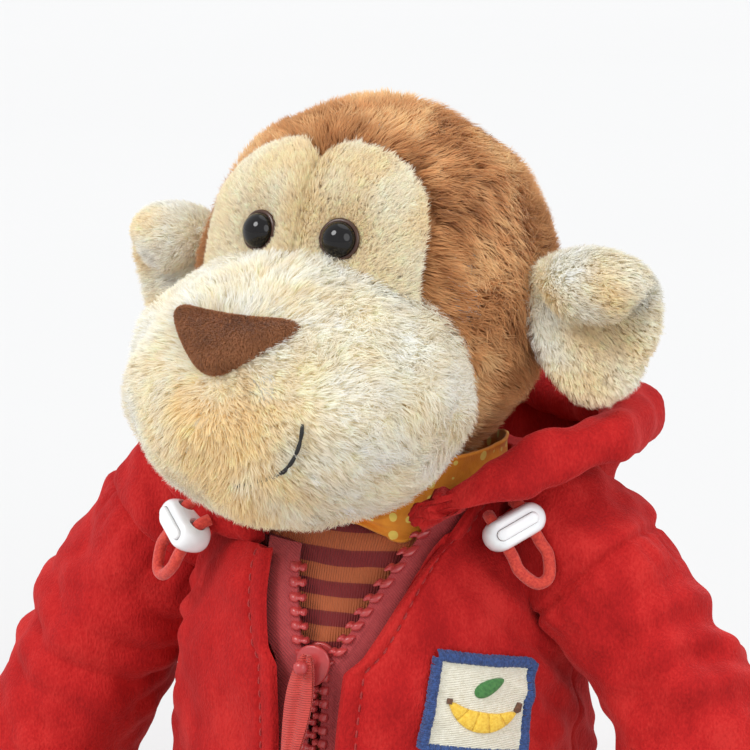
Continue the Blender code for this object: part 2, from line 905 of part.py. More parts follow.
def make_teeth(name, side):
    """One row of teeth on its bead, as a comb. The other row's teeth are half a pitch higher."""
    phase = 0 if side > 0 else ZIP_PITCH / 2
    start, top = ZIP_BOTTOM + phase, zip_top(side)
    count = int((top - start) / ZIP_PITCH)
    heights = []
    for i in range(count):
        heights += [start + i * ZIP_PITCH, start + i * ZIP_PITCH + TOOTH]
    work = bmesh.new()
    half = CHAIN_THICK / 2
    near, far = BEAD_FROM_MIDDLE, BEAD_FROM_MIDDLE + BEAD
    rings = []
    for z in heights:
        corners = ((near, half), (near, -half), (far, -half), (far, half))
        rings.append([work.verts.new(zip_point(z, x, side, out)) for x, out in corners])
    heads = []
    for i, (a, b) in enumerate(zip(rings, rings[1:])):
        for k in range(4):
            n = (k + 1) % 4
            face = work.faces.new((a[k], a[n], b[n], b[k]))
            if k == 0 and i % 2 == 0:
                heads.append(face)
    work.faces.new(rings[0])
    work.faces.new(rings[-1])
    bmesh.ops.recalc_face_normals(work, faces=work.faces)
    grown = bmesh.ops.extrude_discrete_faces(work, faces=heads)["faces"]
    for face in grown:
        bmesh.ops.translate(
            work, verts=face.verts, vec=Vector((-side * TOOTH_REACH, 0, 0))
        )
        bmesh.ops.scale(
            work,
            verts=face.verts,
            vec=(1, 0.8, 0.95),
            space=Matrix.Translation(-face.calc_center_median()),
        )
    solid(f"zip_teeth_{name}", work, "zip_plastic")


def zip_axis():
    """The way the slider moves down the closed zip."""
    low = Vector((0, -zip_front(ZIP_BOTTOM), ZIP_BOTTOM))
    return (low - slider_middle()).normalized()


def slider_middle():
    return Vector((0, -zip_front(ZIP_SLIDER), ZIP_SLIDER))


def slider_frame():
    """The slider's own frame: Z runs up the zip and -Y out of the chest."""
    up = -zip_axis()
    back = up.cross(Vector((1, 0, 0))).normalized()
    turn = Matrix((Vector((1, 0, 0)), back, up)).transposed().to_4x4()
    return Matrix.Translation(slider_middle()) @ turn


def make_slider():
    frame = slider_frame()
    at = bpy.data.objects.new("slider_place", None)
    bpy.context.scene.collection.objects.link(at)
    at.matrix_world = frame
    inside = CHAIN_THICK / 2 + SLIDER_PLAY
    outside = inside + SLIDER_PLATE
    # The front plate is egg-shaped, and the back plate is smaller.
    egg = []
    sides = 16
    for i in range(sides):
        a = math.tau * i / sides
        width = SLIDER_HALF_WIDTH * (1 + 0.18 * math.sin(a))
        egg.append((width * math.cos(a), SLIDER_HALF_LENGTH * math.sin(a)))
    front = extruded("zip_slider", egg, -outside, -inside, "zip_plastic", at)
    # The back plate tapers towards the closed chain.
    narrow, wide = SLIDER_HALF_WIDTH * 0.75, SLIDER_HALF_WIDTH
    reach = SLIDER_HALF_LENGTH * 0.9
    back = helper(
        extruded(
            "slider_back",
            [(-narrow, -reach), (narrow, -reach), (wide, reach), (-wide, reach)],
            inside,
            outside,
            None,
            at,
        )
    )
    post_half = 0.55 * MM
    post_low = SLIDER_HALF_LENGTH * 0.55
    post = helper(
        box(
            "slider_post",
            (-post_half, -inside - SLIDER_PLATE / 2, post_low),
            (post_half, inside + SLIDER_PLATE / 2, SLIDER_HALF_LENGTH * 0.85),
            None,
            at,
        )
    )
    boolean(front, back, "UNION")
    boolean(front, post, "UNION")
    # A pin with a round head holds the ribbon in front of the plate.
    neck = RIBBON + RIBBON_LIFT + GAP
    head = PIN_RADIUS * 1.5
    pin = helper(
        turned(
            "slider_pin",
            [
                (0, 0.5 * MM),
                (PIN_RADIUS, 0.5 * MM),
                (PIN_RADIUS, -neck),
                (head, -neck),
                (head * 0.8, -neck - head * 0.55),
                (head * 0.4, -neck - head * 0.8),
                (0, -neck - head * 0.9),
            ],
            (0, -outside, pin_height()),
            (0, 1, 0),
            None,
            at,
            steps=12,
        )
    )
    boolean(front, pin, "UNION")
    make_ribbon(at, outside)


def pin_height():
    return SLIDER_HALF_LENGTH * 0.25


def make_ribbon(at, plate):
    """A folded ribbon looped round the pin: a long leaf with an eye at its top."""
    steps = 8
    outline = []
    for side in (1, -1):
        for i in range(steps + 1):
            t = i / steps if side > 0 else 1 - i / steps
            swell = math.sin(math.pi * (0.22 + 0.70 * t)) ** 0.8
            outline.append(
                (
                    side * RIBBON_WIDTH / 2 * swell,
                    PIN_RADIUS * 2.4 - (RIBBON_LENGTH + PIN_RADIUS * 2.4) * t,
                )
            )
    lean = Matrix.Rotation(math.radians(RIBBON_LEAN), 2)
    outline = [tuple(lean @ Vector(p)) for p in outline]
    outline = [(x, z + pin_height()) for x, z in outline]
    back = -plate - RIBBON_LIFT
    low = back - RIBBON
    ribbon = extruded("pull_ribbon", outline, low, back, "ribbon_red", at)
    eye = helper(
        turned(
            "ribbon_eye",
            [
                (0, -4 * MM),
                (PIN_RADIUS + GAP, -4 * MM),
                (PIN_RADIUS + GAP, 4 * MM),
                (0, 4 * MM),
            ],
            (0, low, pin_height()),
            (0, 1, 0),
            None,
            at,
            steps=12,
        )
    )
    cut(ribbon, eye)


def badge_point(x, z, offset):
    """A point of the badge's plane laid on the jacket: x and z are counted from the badge's middle."""
    tilt = math.radians(BADGE_TILT)
    across = x * math.cos(tilt) + z * math.sin(tilt)
    height = BADGE_HEIGHT + z * math.cos(tilt) - x * math.sin(tilt)
    reach = TORSO_HALF_WIDTH * jacket_share(BADGE_HEIGHT) + JACKET_EASE + VELOUR
    angle = BADGE_ANGLE + math.degrees(across / reach)
    return jacket_point(angle, height, VELOUR + offset)


def make_badge():
    inner_x, inner_z = BADGE_HALF_WIDTH, BADGE_HALF_HEIGHT
    low, high = GAP, GAP + BADGE_CLOTH
    grids = []
    for offset in (high, low):
        grids.append(
            [
                [
                    badge_point(inner_x * (2 * j / 5 - 1), inner_z * (i - 2) / 2, offset)
                    for j in range(6)
                ]
                for i in range(5)
            ]
        )
    panel("badge_cloth", grids[0], grids[1], "badge_cotton")

    def frame_loop(grow, offset):
        half_x, half_z = inner_x + grow, inner_z + grow
        loop = []
        steps = 5
        for i in range(steps):
            loop.append(badge_point(half_x * (2 * i / steps - 1), -half_z, offset))
        for i in range(steps):
            loop.append(badge_point(half_x, half_z * (2 * i / steps - 1), offset))
        for i in range(steps):
            loop.append(badge_point(half_x * (1 - 2 * i / steps), half_z, offset))
        for i in range(steps):
            loop.append(badge_point(-half_x, half_z * (1 - 2 * i / steps), offset))
        return loop

    raised = high + 0.7 * MM
    loops = [
        frame_loop(GAP, low),
        frame_loop(GAP, raised),
        frame_loop(BADGE_BORDER, raised),
        frame_loop(BADGE_BORDER, low),
    ]
    lofted("badge_border", loops, "badge_thread", joined=True)


# ---------------------------------------------------------------- hood, neckerchief and cord locks


def hood_profile(angle):
    """The hood's outer face at an angle, from the neck seam to the rim, as (outwards, height) pairs."""
    away, side = (angle, 1) if angle <= 180 else (360 - angle, -1)
    over_shoulder = smooth(away, HOOD_START, 88)
    behind = smooth(away, 100, 145)
    base = neckline(away, side) / MM
    profile = []
    for end, middle, back in zip(HOOD_END, HOOD_SIDE, HOOD_BACK):
        flat = Vector(end).lerp(Vector(middle), over_shoulder)
        point = flat.lerp(Vector(back), behind)
        profile.append(Vector((point.x, base + point.y)) * MM)
    return profile


def hood_row(angle, depth):
    """The profile's points at an angle, moved depth into the hood."""
    flat = hood_profile(angle)
    base = jacket_point(angle, NECKLINE_BACK, VELOUR * 0.4)
    out = Vector((base.x, base.y, 0)).normalized()
    row = []
    for i, point in enumerate(flat):
        before, after = flat[max(0, i - 1)], flat[min(len(flat) - 1, i + 1)]
        along = (after - before).normalized()
        inward = Vector((-along.y, along.x))
        moved = point + inward * depth
        place = Vector((base.x, base.y, 0)) + out * moved.x
        row.append(Vector((place.x, place.y, moved.y)))
    return row


def hood_grid(depth, around=20):
    return [
        hood_row(blend(HOOD_START, 360 - HOOD_START, i / around), depth)
        for i in range(around + 1)
    ]


def make_hood(sweeps):
    hood = panel("hood", hood_grid(0), hood_grid(VELOUR), "red_velour")
    lining_low = VELOUR + 2 * GAP
    lining = panel(
        "hood_lining",
        hood_grid(lining_low),
        hood_grid(lining_low + HOOD_LINING),
        "red_velour",
    )
    cut(hood, *sweeps["arms"])
    cut(lining, *sweeps["arms"])


def make_neckerchief():
    """A folded cloth round the neck. It stands up at the sides and the back, and lies low in front."""
    grids = []
    for offset in (SCARF, 0):
        rows = []
        steps = 20
        for i in range(4):
            row = []
            for j in range(steps):
                angle = 360 * j / steps
                away = abs(angle if angle <= 180 else 360 - angle)
                side = smooth(away, 35, 75)
                low = blend(SCARF_FRONT, NECKLINE_BACK - 5 * MM, side)
                high = blend(SCARF_FRONT + 8 * MM, SCARF_TOP, side)
                high -= SCARF_DIP * smooth(away, 110, 150)
                z = blend(low, high, i / 3)
                ease = blend(SCARF_EASE, JACKET_EASE - 3.5 * MM, side)
                lean = blend(0, -1.5 * MM + 2.2 * MM * i / 3, side)
                out = ease + lean + offset - SCARF / 2
                row.append(round_trunk(angle, z, jacket_share(z), out))
            rows.append(row)
        grids.append(rows)
    walled("neckerchief", grids[0], grids[1], "dotted_cotton")


def lock_axes():
    """The cord lock's long axis, the way its cords leave it, and the way it faces."""
    facing = Vector((0.50, -0.80, 0.33)).normalized()
    along = Vector((0.683, 0.60, 0.418))
    along = (along - facing * along.dot(facing)).normalized()
    down = along.cross(facing).normalized()
    return along, down, facing


def lock_middle(side):
    """A cord lock's middle, for the doll's left: it hangs just below the hood's front end."""
    angle = LOCK_ANGLE[side]
    edge = jacket_point(angle, NECKLINE_BACK, VELOUR)
    out = Vector((edge.x, edge.y, 0)).normalized()
    place = edge + out * LOCK_OUT[side]
    place.z = neckline(angle, side) - LOCK_DROP[side]
    return place


def lock_frame(side):
    along, down, facing = lock_axes()
    middle = lock_middle(side)
    turn = Matrix((along, facing, -down)).transposed().to_4x4()
    frame = Matrix.Translation(middle) @ turn
    if side < 0:
        flip = Matrix.Diagonal((-1, 1, 1, 1))
        frame = flip @ frame @ flip
    return frame


def pill(name, half_x, half_y, half_z, material, parent, centre=(0, 0, 0)):
    """A block with round ends along X and soft edges."""
    rings = []
    for share, size in ((-1, 0.72), (-0.8, 1), (0.8, 1), (1, 0.72)):
        ring = []
        for end in (1, -1):
            for i in range(7):
                a = math.radians(90 - 30 * i)
                x = end * (half_x - half_z + half_z * math.cos(a) * size)
                ring.append(
                    Vector(
                        (
                            centre[0] + x,
                            centre[1] + half_y * share,
                            centre[2] + end * half_z * size * math.sin(a),
                        )
                    )
                )
        rings.append(ring)
    return lofted(name, rings, material, parent)


def make_cord_lock(name, side):
    """A two-hole cord lock: a housing, a sprung button that slides out of its front, and the cord's loop."""
    at = bpy.data.objects.new(f"lock_place_{name}", None)
    bpy.context.scene.collection.objects.link(at)
    at.matrix_world = lock_frame(side)
    housing = pill(
        f"cord_lock_{name}",
        LOCK_HALF_LENGTH,
        LOCK_HALF_DEPTH,
        LOCK_HALF_HEIGHT,
        "lock_white",
        at,
    )
    hole = CORD_RADIUS + LOCK_CLEARANCE
    far = LOCK_HALF_HEIGHT * 2
    cutters = []
    for k in (-1, 1):
        cutters.append(
            helper(
                turned(
                    f"lock_hole_{name}_{k + 1}",
                    [(0, -far), (hole, -far), (hole, far), (0, far)],
                    (k * LOCK_HOLES_APART / 2, 0, 0),
                    (0, 0, 1),
                    None,
                    at,
                    steps=12,
                )
            )
        )
    # The button sits in a slot between the two holes, and reaches out of the front.
    slot_half_x = LOCK_HOLES_APART / 2 - hole - 0.55 * MM
    slot_half_z = LOCK_HALF_HEIGHT * 0.55
    slot_back = -LOCK_HALF_DEPTH * 0.70
    front = LOCK_HALF_DEPTH + 0.9 * MM
    slot = helper(
        box(
            f"lock_slot_{name}",
            (-slot_half_x - GAP, slot_back, -slot_half_z - GAP),
            (slot_half_x + GAP, front + 2 * MM, slot_half_z + GAP),
            None,
            at,
        )
    )
    cut(housing, *cutters, slot)
    # Y points out of the chest in the lock's frame.
    button_back = slot_back + LOCK_BUTTON_TRAVEL + 2 * GAP + 1.0 * MM
    box(
        f"lock_button_{name}",
        (-slot_half_x, button_back, -slot_half_z),
        (slot_half_x, front, slot_half_z),
        "lock_white",
        at,
    )
    spring_low, spring_high = slot_back + GAP, button_back - GAP
    turns, steps = 2, 8
    wire = 0.22 * MM
    radius = min(slot_half_x, LOCK_SPRING_RADIUS) - wire
    coil = []
    for i in range(turns * steps + 1):
        a = math.tau * i / steps
        y = blend(spring_low + wire, spring_high - wire, i / (turns * steps))
        coil.append(Vector((radius * math.cos(a), y, radius * math.sin(a))))
    tube(f"lock_spring_{name}", coil, wire, "spring_steel", at, resolution=1)
    make_drawcord(name, side)


def drawcord_route(side):
    """Out of the hood, through one hole, round a hanging loop and back through the other hole."""
    along, down, facing = lock_axes()
    middle = lock_middle(side)
    half = along * LOCK_HOLES_APART / 2
    above = -down * (LOCK_HALF_HEIGHT + 0.6 * MM)
    root = -down * (LOCK_HALF_HEIGHT + 1.5 * MM)
    below = down * (LOCK_HALF_HEIGHT + 1.5 * MM)
    loop_sides = down * (LOCK_HALF_HEIGHT + CORD_LOOP * 0.55) - facing * 0.2 * MM
    loop_end = down * (LOCK_HALF_HEIGHT + CORD_LOOP) - facing * 0.8 * MM
    route = [
        middle + root + half * 0.9,
        middle + above + half,
        middle + half,
        middle + below + half,
        middle + loop_sides + half * 1.05,
        middle + loop_end + half * 0.55,
        middle + loop_end + down * 0.9 * MM,
        middle + loop_end - half * 0.55,
        middle + loop_sides - half * 1.05,
        middle + below - half,
        middle - half,
        middle + above - half,
        middle + root - half * 0.9,
    ]
    return [sided(p, side) for p in through(route, 3)]


def make_drawcord(name, side):
    tube(f"drawcord_{name}", drawcord_route(side), CORD_RADIUS, "cord_red")


# ---------------------------------------------------------------- head


def head_middle():
    return Vector((0, -1 * MM, TORSO_HEIGHT + HEAD_SINK + HEAD_HALF.z))


def on_muzzle(x, z, out=0.0):
    """A point of the muzzle's surface in the head's frame, x and z from the muzzle's middle."""
    grown = MUZZLE_HALF + Vector((out, out, out))
    bend = 1 - (x / grown.x) ** 2 - (z / grown.z) ** 2
    return Vector(
        (x, -MUZZLE_FORWARD - grown.y * math.sqrt(max(bend, 0)), -MUZZLE_DROP + z)
    )


def eye_axis(side):
    bend = 1 - (EYE_X / HEAD_HALF.x) ** 2 - (EYE_Z / HEAD_HALF.z) ** 2
    return Vector((side * EYE_X, -HEAD_HALF.y * math.sqrt(bend), EYE_Z)).normalized()


def make_head():
    at = bpy.data.objects.new("head_place", None)
    bpy.context.scene.collection.objects.link(at)
    turn = Matrix.Rotation(math.radians(HEAD_TURN), 4, "Z")
    at.matrix_world = Matrix.Translation(head_middle()) @ turn

    def ball(name, grow, material=None, **more):
        half = HEAD_HALF + Vector((grow,) * 3)
        return ellipsoid(name, (0, 0, 0), half, material, at, **more)

    def snout(name, grow, material=None):
        half = MUZZLE_HALF + Vector((grow,) * 3)
        middle = (0, -MUZZLE_FORWARD, -MUZZLE_DROP)
        return ellipsoid(name, middle, half, material, at)

    cover = ball("head_cover", 0, "brown_plush", sides=22, levels=12)
    inside = helper(ball("head_inside", -SKIN, sides=22, levels=12))
    filling = ball("head_stuffing", -SKIN - GAP * 2, "fibre_fill")
    bottom = -HEAD_HALF.z
    opening = NECK_RADIUS + 2.2 * MM

    def post(name, radius, low, high):
        profile = [(0, low), (radius, low), (radius, high), (0, high)]
        return helper(turned(name, profile, (0, 0, 0), (0, 0, 1), None, at, steps=18))

    neck_hole = post("neck_hole", opening, bottom - 5 * MM, bottom + NECK_SINK + 1 * MM)
    cut(cover, inside, neck_hole)
    cut(filling, neck_hole)

    outer_ball = helper(ball("head_outer", GAP, sides=22, levels=12))
    muzzle = snout("muzzle_cover", 0, "cream_plush")
    muzzle_inside = helper(snout("muzzle_inside", -SKIN))
    cut(muzzle, muzzle_inside, outer_ball, neck_hole)
    muzzle_filling = snout("muzzle_stuffing", -SKIN - GAP, "fibre_fill")
    cut(muzzle_filling, outer_ball, neck_hole)

    snout_outer = helper(snout("muzzle_outer", GAP))
    brow = ball("face_patch", GAP + APPLIQUE, "cream_plush", sides=22, levels=12)
    outline = brow_outline()
    prism = helper(
        extruded("brow_shape", outline, -HEAD_HALF.y * 1.5, -2 * MM, None, at)
    )
    boolean(brow, prism, "INTERSECT")
    cut(brow, outer_ball, snout_outer)

    nose = snout("nose_pad", GAP + APPLIQUE, "nose_velour")
    nose_shape = helper(
        extruded(
            "nose_shape",
            nose_outline(),
            -MUZZLE_FORWARD - MUZZLE_HALF.y * 1.4,
            -MUZZLE_FORWARD - MUZZLE_HALF.y * 0.25,
            None,
            at,
        )
    )
    boolean(nose, nose_shape, "INTERSECT")
    cut(nose, snout_outer)

    route = []
    steps = 14
    for i in range(steps + 1):
        a = math.pi * i / steps
        x = SMILE_HALF_WIDTH * math.cos(a)
        z = 1 * MM - SMILE_DEPTH * math.sin(a)
        route.append(on_muzzle(x, z, SMILE_THREAD + GAP + 0.5 * MM))
    tube("mouth_stitch", route, SMILE_THREAD, "black_thread", at, resolution=1)

    for name, side in SIDES:
        make_eye(name, side, at, (cover, brow, muzzle, filling))
        make_ear(name, side, at, outer_ball)

    low, high = TORSO_HEIGHT - NECK_DEPTH, TORSO_HEIGHT + HEAD_SINK + NECK_SINK
    neck_post("neck_core", NECK_RADIUS, low, high, "fibre_fill")


def brow_outline():
    """A rounded panel with a notch in the middle of its top, where its two halves are sewn together."""
    tall = BROW_TOP - BROW_MIDDLE
    steps = 28
    outline = [(BROW_HALF_WIDTH, BROW_BOTTOM), (-BROW_HALF_WIDTH, BROW_BOTTOM)]
    for i in range(steps + 1):
        a = math.pi * (1 - i / steps)
        across = math.copysign(abs(math.cos(a)) ** 0.8, math.cos(a))
        rise = math.sin(a) ** 0.8
        x = BROW_HALF_WIDTH * across
        notch = BROW_NOTCH * math.exp(-((x / (3 * MM)) ** 2))
        outline.append((x, BROW_MIDDLE + tall * rise - notch))
    return outline


def nose_outline():
    """A triangle with round corners, its tip down, in the head's frame."""
    tip = -MUZZLE_DROP + NOSE_RISE
    top = tip + NOSE_HEIGHT
    corners = ((0, tip), (NOSE_HALF_WIDTH, top), (-NOSE_HALF_WIDTH, top))
    outline = []
    for i, corner in enumerate(corners):
        here = Vector(corner)
        before, after = Vector(corners[i - 1]), Vector(corners[(i + 1) % 3])
        a, b = here.lerp(before, 0.2), here.lerp(after, 0.2)
        for t in (0, 0.33, 0.67, 1):
            outline.append(a.lerp(here, t).lerp(here.lerp(b, t), t))
    middle = Vector((0, tip + NOSE_HEIGHT / 2))
    slant = Matrix.Rotation(math.radians(-NOSE_SLANT), 2)
    return [tuple(middle + slant @ (p - middle)) for p in outline]


def make_eye(name, side, at, pieces):
    """A domed eye with a shank through the face, held by a washer inside the head."""
    cover, brow, muzzle, filling = pieces
    axis = eye_axis(side)
    size = Vector([a / h for a, h in zip(axis, HEAD_HALF)]).length
    seat = 1 / size + GAP + APPLIQUE - EYE_SINK
    shank = -(GAP * 2 + APPLIQUE - EYE_SINK + SKIN + WASHER + 3 * MM)
    dome = []
    for i in range(6):
        a = math.pi / 2 * i / 5
        dome.append((EYE_RADIUS * math.cos(a), 0.8 * MM + EYE_DOME * math.sin(a)))
    dome[-1] = (0, 0.8 * MM + EYE_DOME)
    profile = [(0, shank), (EYE_SHANK, shank), (EYE_SHANK, 0), (EYE_RADIUS, 0), *dome]
    turned(f"eye_{name}", profile, axis * seat, axis, "eye_plastic", at, steps=16)

    def bore(label, radius, low, high):
        shape = [(0, low), (radius, low), (radius, high), (0, high)]
        return helper(
            turned(f"{label}_{name}", shape, axis * seat, axis, None, at, steps=12)
        )

    hole = bore("eye_hole", EYE_SHANK + GAP, -12 * MM, 2 * MM)
    inner = -(GAP + APPLIQUE - EYE_SINK + SKIN)
    pocket = bore("eye_pocket", WASHER_RADIUS + GAP, shank - GAP, 2 * MM)
    seat_cut = bore("eye_seat", EYE_RADIUS + GAP, -GAP, 6 * MM)
    cut(cover, hole)
    cut(brow, hole, seat_cut)
    cut(muzzle, seat_cut)
    cut(filling, pocket)
    ring = [
        (EYE_SHANK + GAP, inner - GAP * 4),
        (WASHER_RADIUS, inner - GAP * 4),
        (WASHER_RADIUS, inner - GAP * 4 - WASHER),
        (EYE_SHANK + GAP, inner - GAP * 4 - WASHER),
        (EYE_SHANK + GAP, inner - GAP * 4),
    ]
    turned(
        f"eye_washer_{name}", ring, axis * seat, axis, "washer_plastic", at, steps=12
    )


def make_ear(name, side, at, outer_ball):
    """An ear is two padded panels sewn edge to edge: front and back."""
    turn = Matrix.Rotation(math.radians(EAR_CUP * side), 4, "Z")
    place = bpy.data.objects.new(f"ear_place_{name}", None)
    bpy.context.scene.collection.objects.link(place)
    place.parent = at
    place.matrix_local = Matrix.Translation((side * EAR_REACH, 0, -EAR_DROP)) @ turn
    big = EAR_HALF * 2
    for part, front in (("front", -1), ("back", 1)):
        ear = ellipsoid(
            f"ear_{name}_{part}",
            (0, 0, 0),
            EAR_HALF,
            "cream_plush",
            place,
            sides=16,
            levels=8,
        )
        near, far = front * GAP / 2, -front * big.y
        low, high = min(near, far), max(near, far)
        other_half = helper(
            box(
                f"ear_cut_{name}_{part}",
                (-big.x, low, -big.z),
                (big.x, high, big.z),
                None,
                place,
            )
        )
        cut(ear, other_half, outer_ball)


# ---------------------------------------------------------------- the whole doll


def main():
    clear_scene()
    sweeps = {"arms": [], "legs": [], "sockets": [], "filling": []}
    for name, side in SIDES:
        sweeps["arms"].append(arm_sweep(f"arm_sweep_{name}", side))
        sweeps["legs"].append(leg_sweep(f"leg_sweep_{name}", side))
        for kind, grow in (("sockets", SKIN), ("filling", SKIN + GAP)):
            sweeps[kind].append(arm_sweep(f"arm_sweep_{kind}_{name}", side, grow))
            sweeps[kind].append(leg_sweep(f"leg_sweep_{kind}_{name}", side, grow))
    make_trunk(sweeps)
    make_tail()
    for name, side in SIDES:
        make_arm(name, side)
        make_leg(name, side)
        make_cord_lock(name, side)
    make_jacket(sweeps)
    make_hood(sweeps)
    make_neckerchief()
    make_head()


main()
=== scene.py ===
import math

import bmesh
import bpy
import numpy as np
from mathutils import Matrix, Vector
from mathutils.kdtree import KDTree


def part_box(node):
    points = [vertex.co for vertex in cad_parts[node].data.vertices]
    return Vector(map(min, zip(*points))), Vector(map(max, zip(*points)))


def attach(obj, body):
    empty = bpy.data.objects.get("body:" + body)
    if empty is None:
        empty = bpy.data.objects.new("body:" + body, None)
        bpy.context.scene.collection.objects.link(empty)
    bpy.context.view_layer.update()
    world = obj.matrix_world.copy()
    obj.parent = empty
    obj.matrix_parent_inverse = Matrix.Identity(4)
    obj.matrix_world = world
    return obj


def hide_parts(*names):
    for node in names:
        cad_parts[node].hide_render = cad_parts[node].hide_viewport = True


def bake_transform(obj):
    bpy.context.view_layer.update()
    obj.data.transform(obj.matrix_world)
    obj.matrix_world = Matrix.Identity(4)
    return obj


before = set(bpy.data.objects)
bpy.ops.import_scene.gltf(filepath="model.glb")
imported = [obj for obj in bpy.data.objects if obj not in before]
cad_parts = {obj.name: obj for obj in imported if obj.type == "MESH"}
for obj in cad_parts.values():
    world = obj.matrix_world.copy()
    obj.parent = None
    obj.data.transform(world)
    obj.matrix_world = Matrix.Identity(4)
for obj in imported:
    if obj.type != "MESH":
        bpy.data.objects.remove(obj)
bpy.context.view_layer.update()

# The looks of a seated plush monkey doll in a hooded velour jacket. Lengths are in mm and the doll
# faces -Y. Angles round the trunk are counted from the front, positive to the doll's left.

MM = 0.001
SIDES = (("left", 1), ("right", -1))

# Head, as in the CAD model: its own frame looks along -Y
HEAD_TURN = -8.7
HEAD_HALF = np.array((43.0, 38.5, 43.3))
MUZZLE_HALF = np.array((39.5, 38.0, 31.5))
MUZZLE_MIDDLE = np.array((0.0, -34.0, -17.0))
BROW_HALF_WIDTH = 26.5
BROW_TOP = 37.5
BROW_MIDDLE = 12.0
BROW_BOTTOM = -5.0
EYE_X, EYE_Z = 10.2, 16.6
EYE_RADIUS = 4.0
EYE_DOME = 3.2
NOSE_HALF_WIDTH, NOSE_HEIGHT, NOSE_RISE = 18.5, 12.5, 8.5
NOSE_SLANT = 0.5
NOSE_PUFF = 3.6
SMILE_HALF_WIDTH, SMILE_DEPTH = 20.5, 17.0
EAR_REACH, EAR_DROP, EAR_CUP = 55.0, 2.0, 14.0

# Trunk and jacket, as in the CAD model
TORSO_HEIGHT = 135.0
TORSO_HALF = (42.0, 39.0, 36.0)  # half width, to the front, to the back
TORSO_HEIGHTS = (0, 0.07, 0.20, 0.37, 0.56, 0.74, 0.86, 0.93, 0.97, 1.0)
TORSO_SHARES = (0.72, 0.90, 1.0, 1.0, 0.965, 0.90, 0.81, 0.68, 0.52, 0.37)
COLLAR_SHARE = 0.60
JACKET_EASE = 7.5
VELOUR = 2.6
HEM_FRONT, HEM_BACK = 48.0, 24.0
NECKLINE_FRONT, NECKLINE_BACK = 125.0, 137.0
NECKLINE_CLIMB = {1: (10, 50), -1: (40, 85)}
SHOULDER = np.array((49.0, 1.0, 123.0))
ELBOW = np.array((84.0, -3.0, 89.0))
WRIST = np.array((98.0, -17.0, 45.0))
ARM_DROP = {1: 0.0, -1: 7.0}
SLEEVE_RADIUS = 16.7

# Zip, as in the CAD model
ZIP_BOTTOM, ZIP_SLIDER = 51.0, 101.0
ZIP_TOP = {1: 137.0, -1: 126.0}
ZIP_SPREAD = {1: 20.0, -1: 4.5}
ZIP_PARTING = 1.7
ZIP_PITCH, TOOTH = 3.1, 1.3
ZIP_SHOWS = 6.5
TAPE, TAPE_SINK, TAPE_WIDTH = 0.8, 2.0, 7.5
BEAD_NEAR, BEAD_FAR = 1.0, 2.6
CHAIN_THICK = 2.4
SLIDER_HALF_LENGTH = 4.8


# ---------------------------------------------------------------- numbers and meshes


def smooth(value, low, high):
    share = np.clip((np.asarray(value, float) - low) / (high - low), 0, 1)
    return share * share * (3 - 2 * share)


def blend(a, b, share):
    return a + (b - a) * share


def unit(vectors):
    return vectors / np.maximum(np.linalg.norm(vectors, axis=-1, keepdims=True), 1e-9)


def bump(distance, width):
    return np.exp(-((distance / width) ** 2))


class Waves:
    """Smooth noise of about unit strength: sine waves in seeded directions, size mm apart."""

    def __init__(self, seed, size, count=20):
        draw = np.random.default_rng(seed)
        directions = unit(draw.normal(size=(count, 3)))
        self.steps = directions * (math.tau / size * draw.uniform(0.6, 1.5, (count, 1)))
        self.phases = draw.uniform(0, math.tau, count)
        self.scale = math.sqrt(2 / count)

    def __call__(self, points):
        return np.sin(points @ self.steps.T + self.phases).sum(axis=-1) * self.scale


def through(points, between):
    """A smooth line through points."""
    points = np.asarray(points, float)
    ends = np.vstack([2 * points[0] - points[1], points, 2 * points[-1] - points[-2]])
    line = []
    for a, b, c, d in zip(ends, ends[1:], ends[2:], ends[3:]):
        for t in np.arange(between) / between:
            line.append(
                0.5
                * (
                    2 * b
                    + (c - a) * t
                    + (2 * a - 5 * b + 4 * c - d) * t**2
                    + (3 * b - 3 * c + d - a) * t**3
                )
            )
    return np.array([*line, points[-1]])


def object_of(name, points, faces, material=None, body=None, stands_for=(), shade=True):
    """A mesh object in the doll's frame. faces is an array of faces, or a list of such arrays."""
    groups = faces if isinstance(faces, list) else [faces]
    corners = np.concatenate([g.ravel() for g in groups]).astype(np.int32)
    sizes = np.concatenate([np.full(len(g), g.shape[1]) for g in groups])
    starts = np.concatenate([[0], np.cumsum(sizes)[:-1]]).astype(np.int32)
    mesh = bpy.data.meshes.new(name)
    mesh.vertices.add(len(points))
    mesh.vertices.foreach_set("co", (np.asarray(points) * MM).astype(np.float32).ravel())
    mesh.loops.add(len(corners))
    mesh.loops.foreach_set("vertex_index", corners)
    mesh.polygons.add(len(sizes))
    mesh.polygons.foreach_set("loop_start", starts)
    mesh.update(calc_edges=True)
    mesh.validate()
    mesh.polygons.foreach_set("use_smooth", np.full(len(mesh.polygons), shade))
    made = bpy.data.objects.new(name, mesh)
    bpy.context.scene.collection.objects.link(made)
    if material:
        made.data.materials.append(MATERIALS[material])
    if body:
        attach(made, body)
    if stands_for:
        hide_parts(*stands_for)
    return made


def grid_faces(rows, columns, wrap=False, start=0):
    """Quads over a grid of points stored row by row."""
    i, j = np.meshgrid(
        np.arange(rows - 1), np.arange(columns if wrap else columns - 1), indexing="ij"
    )
    n = (j + 1) % columns
    quads = [i * columns + j, i * columns + n, (i + 1) * columns + n, (i + 1) * columns + j]
    return np.stack([q.ravel() for q in quads], axis=1) + start


def cut_in_two(quads):
    """Each quad as two triangles."""
    return np.vstack([quads[:, [0, 1, 2]], quads[:, [0, 2, 3]]])


def grid_normals(grid, wrap=False):
    """Unit normals of a grid (rows, columns, 3)."""
    if wrap:
        around = np.roll(grid, -1, axis=1) - np.roll(grid, 1, axis=1)
    else:
        around = np.gradient(grid, axis=1)
    up = np.gradient(grid, axis=0)
    return unit(np.cross(around, up))


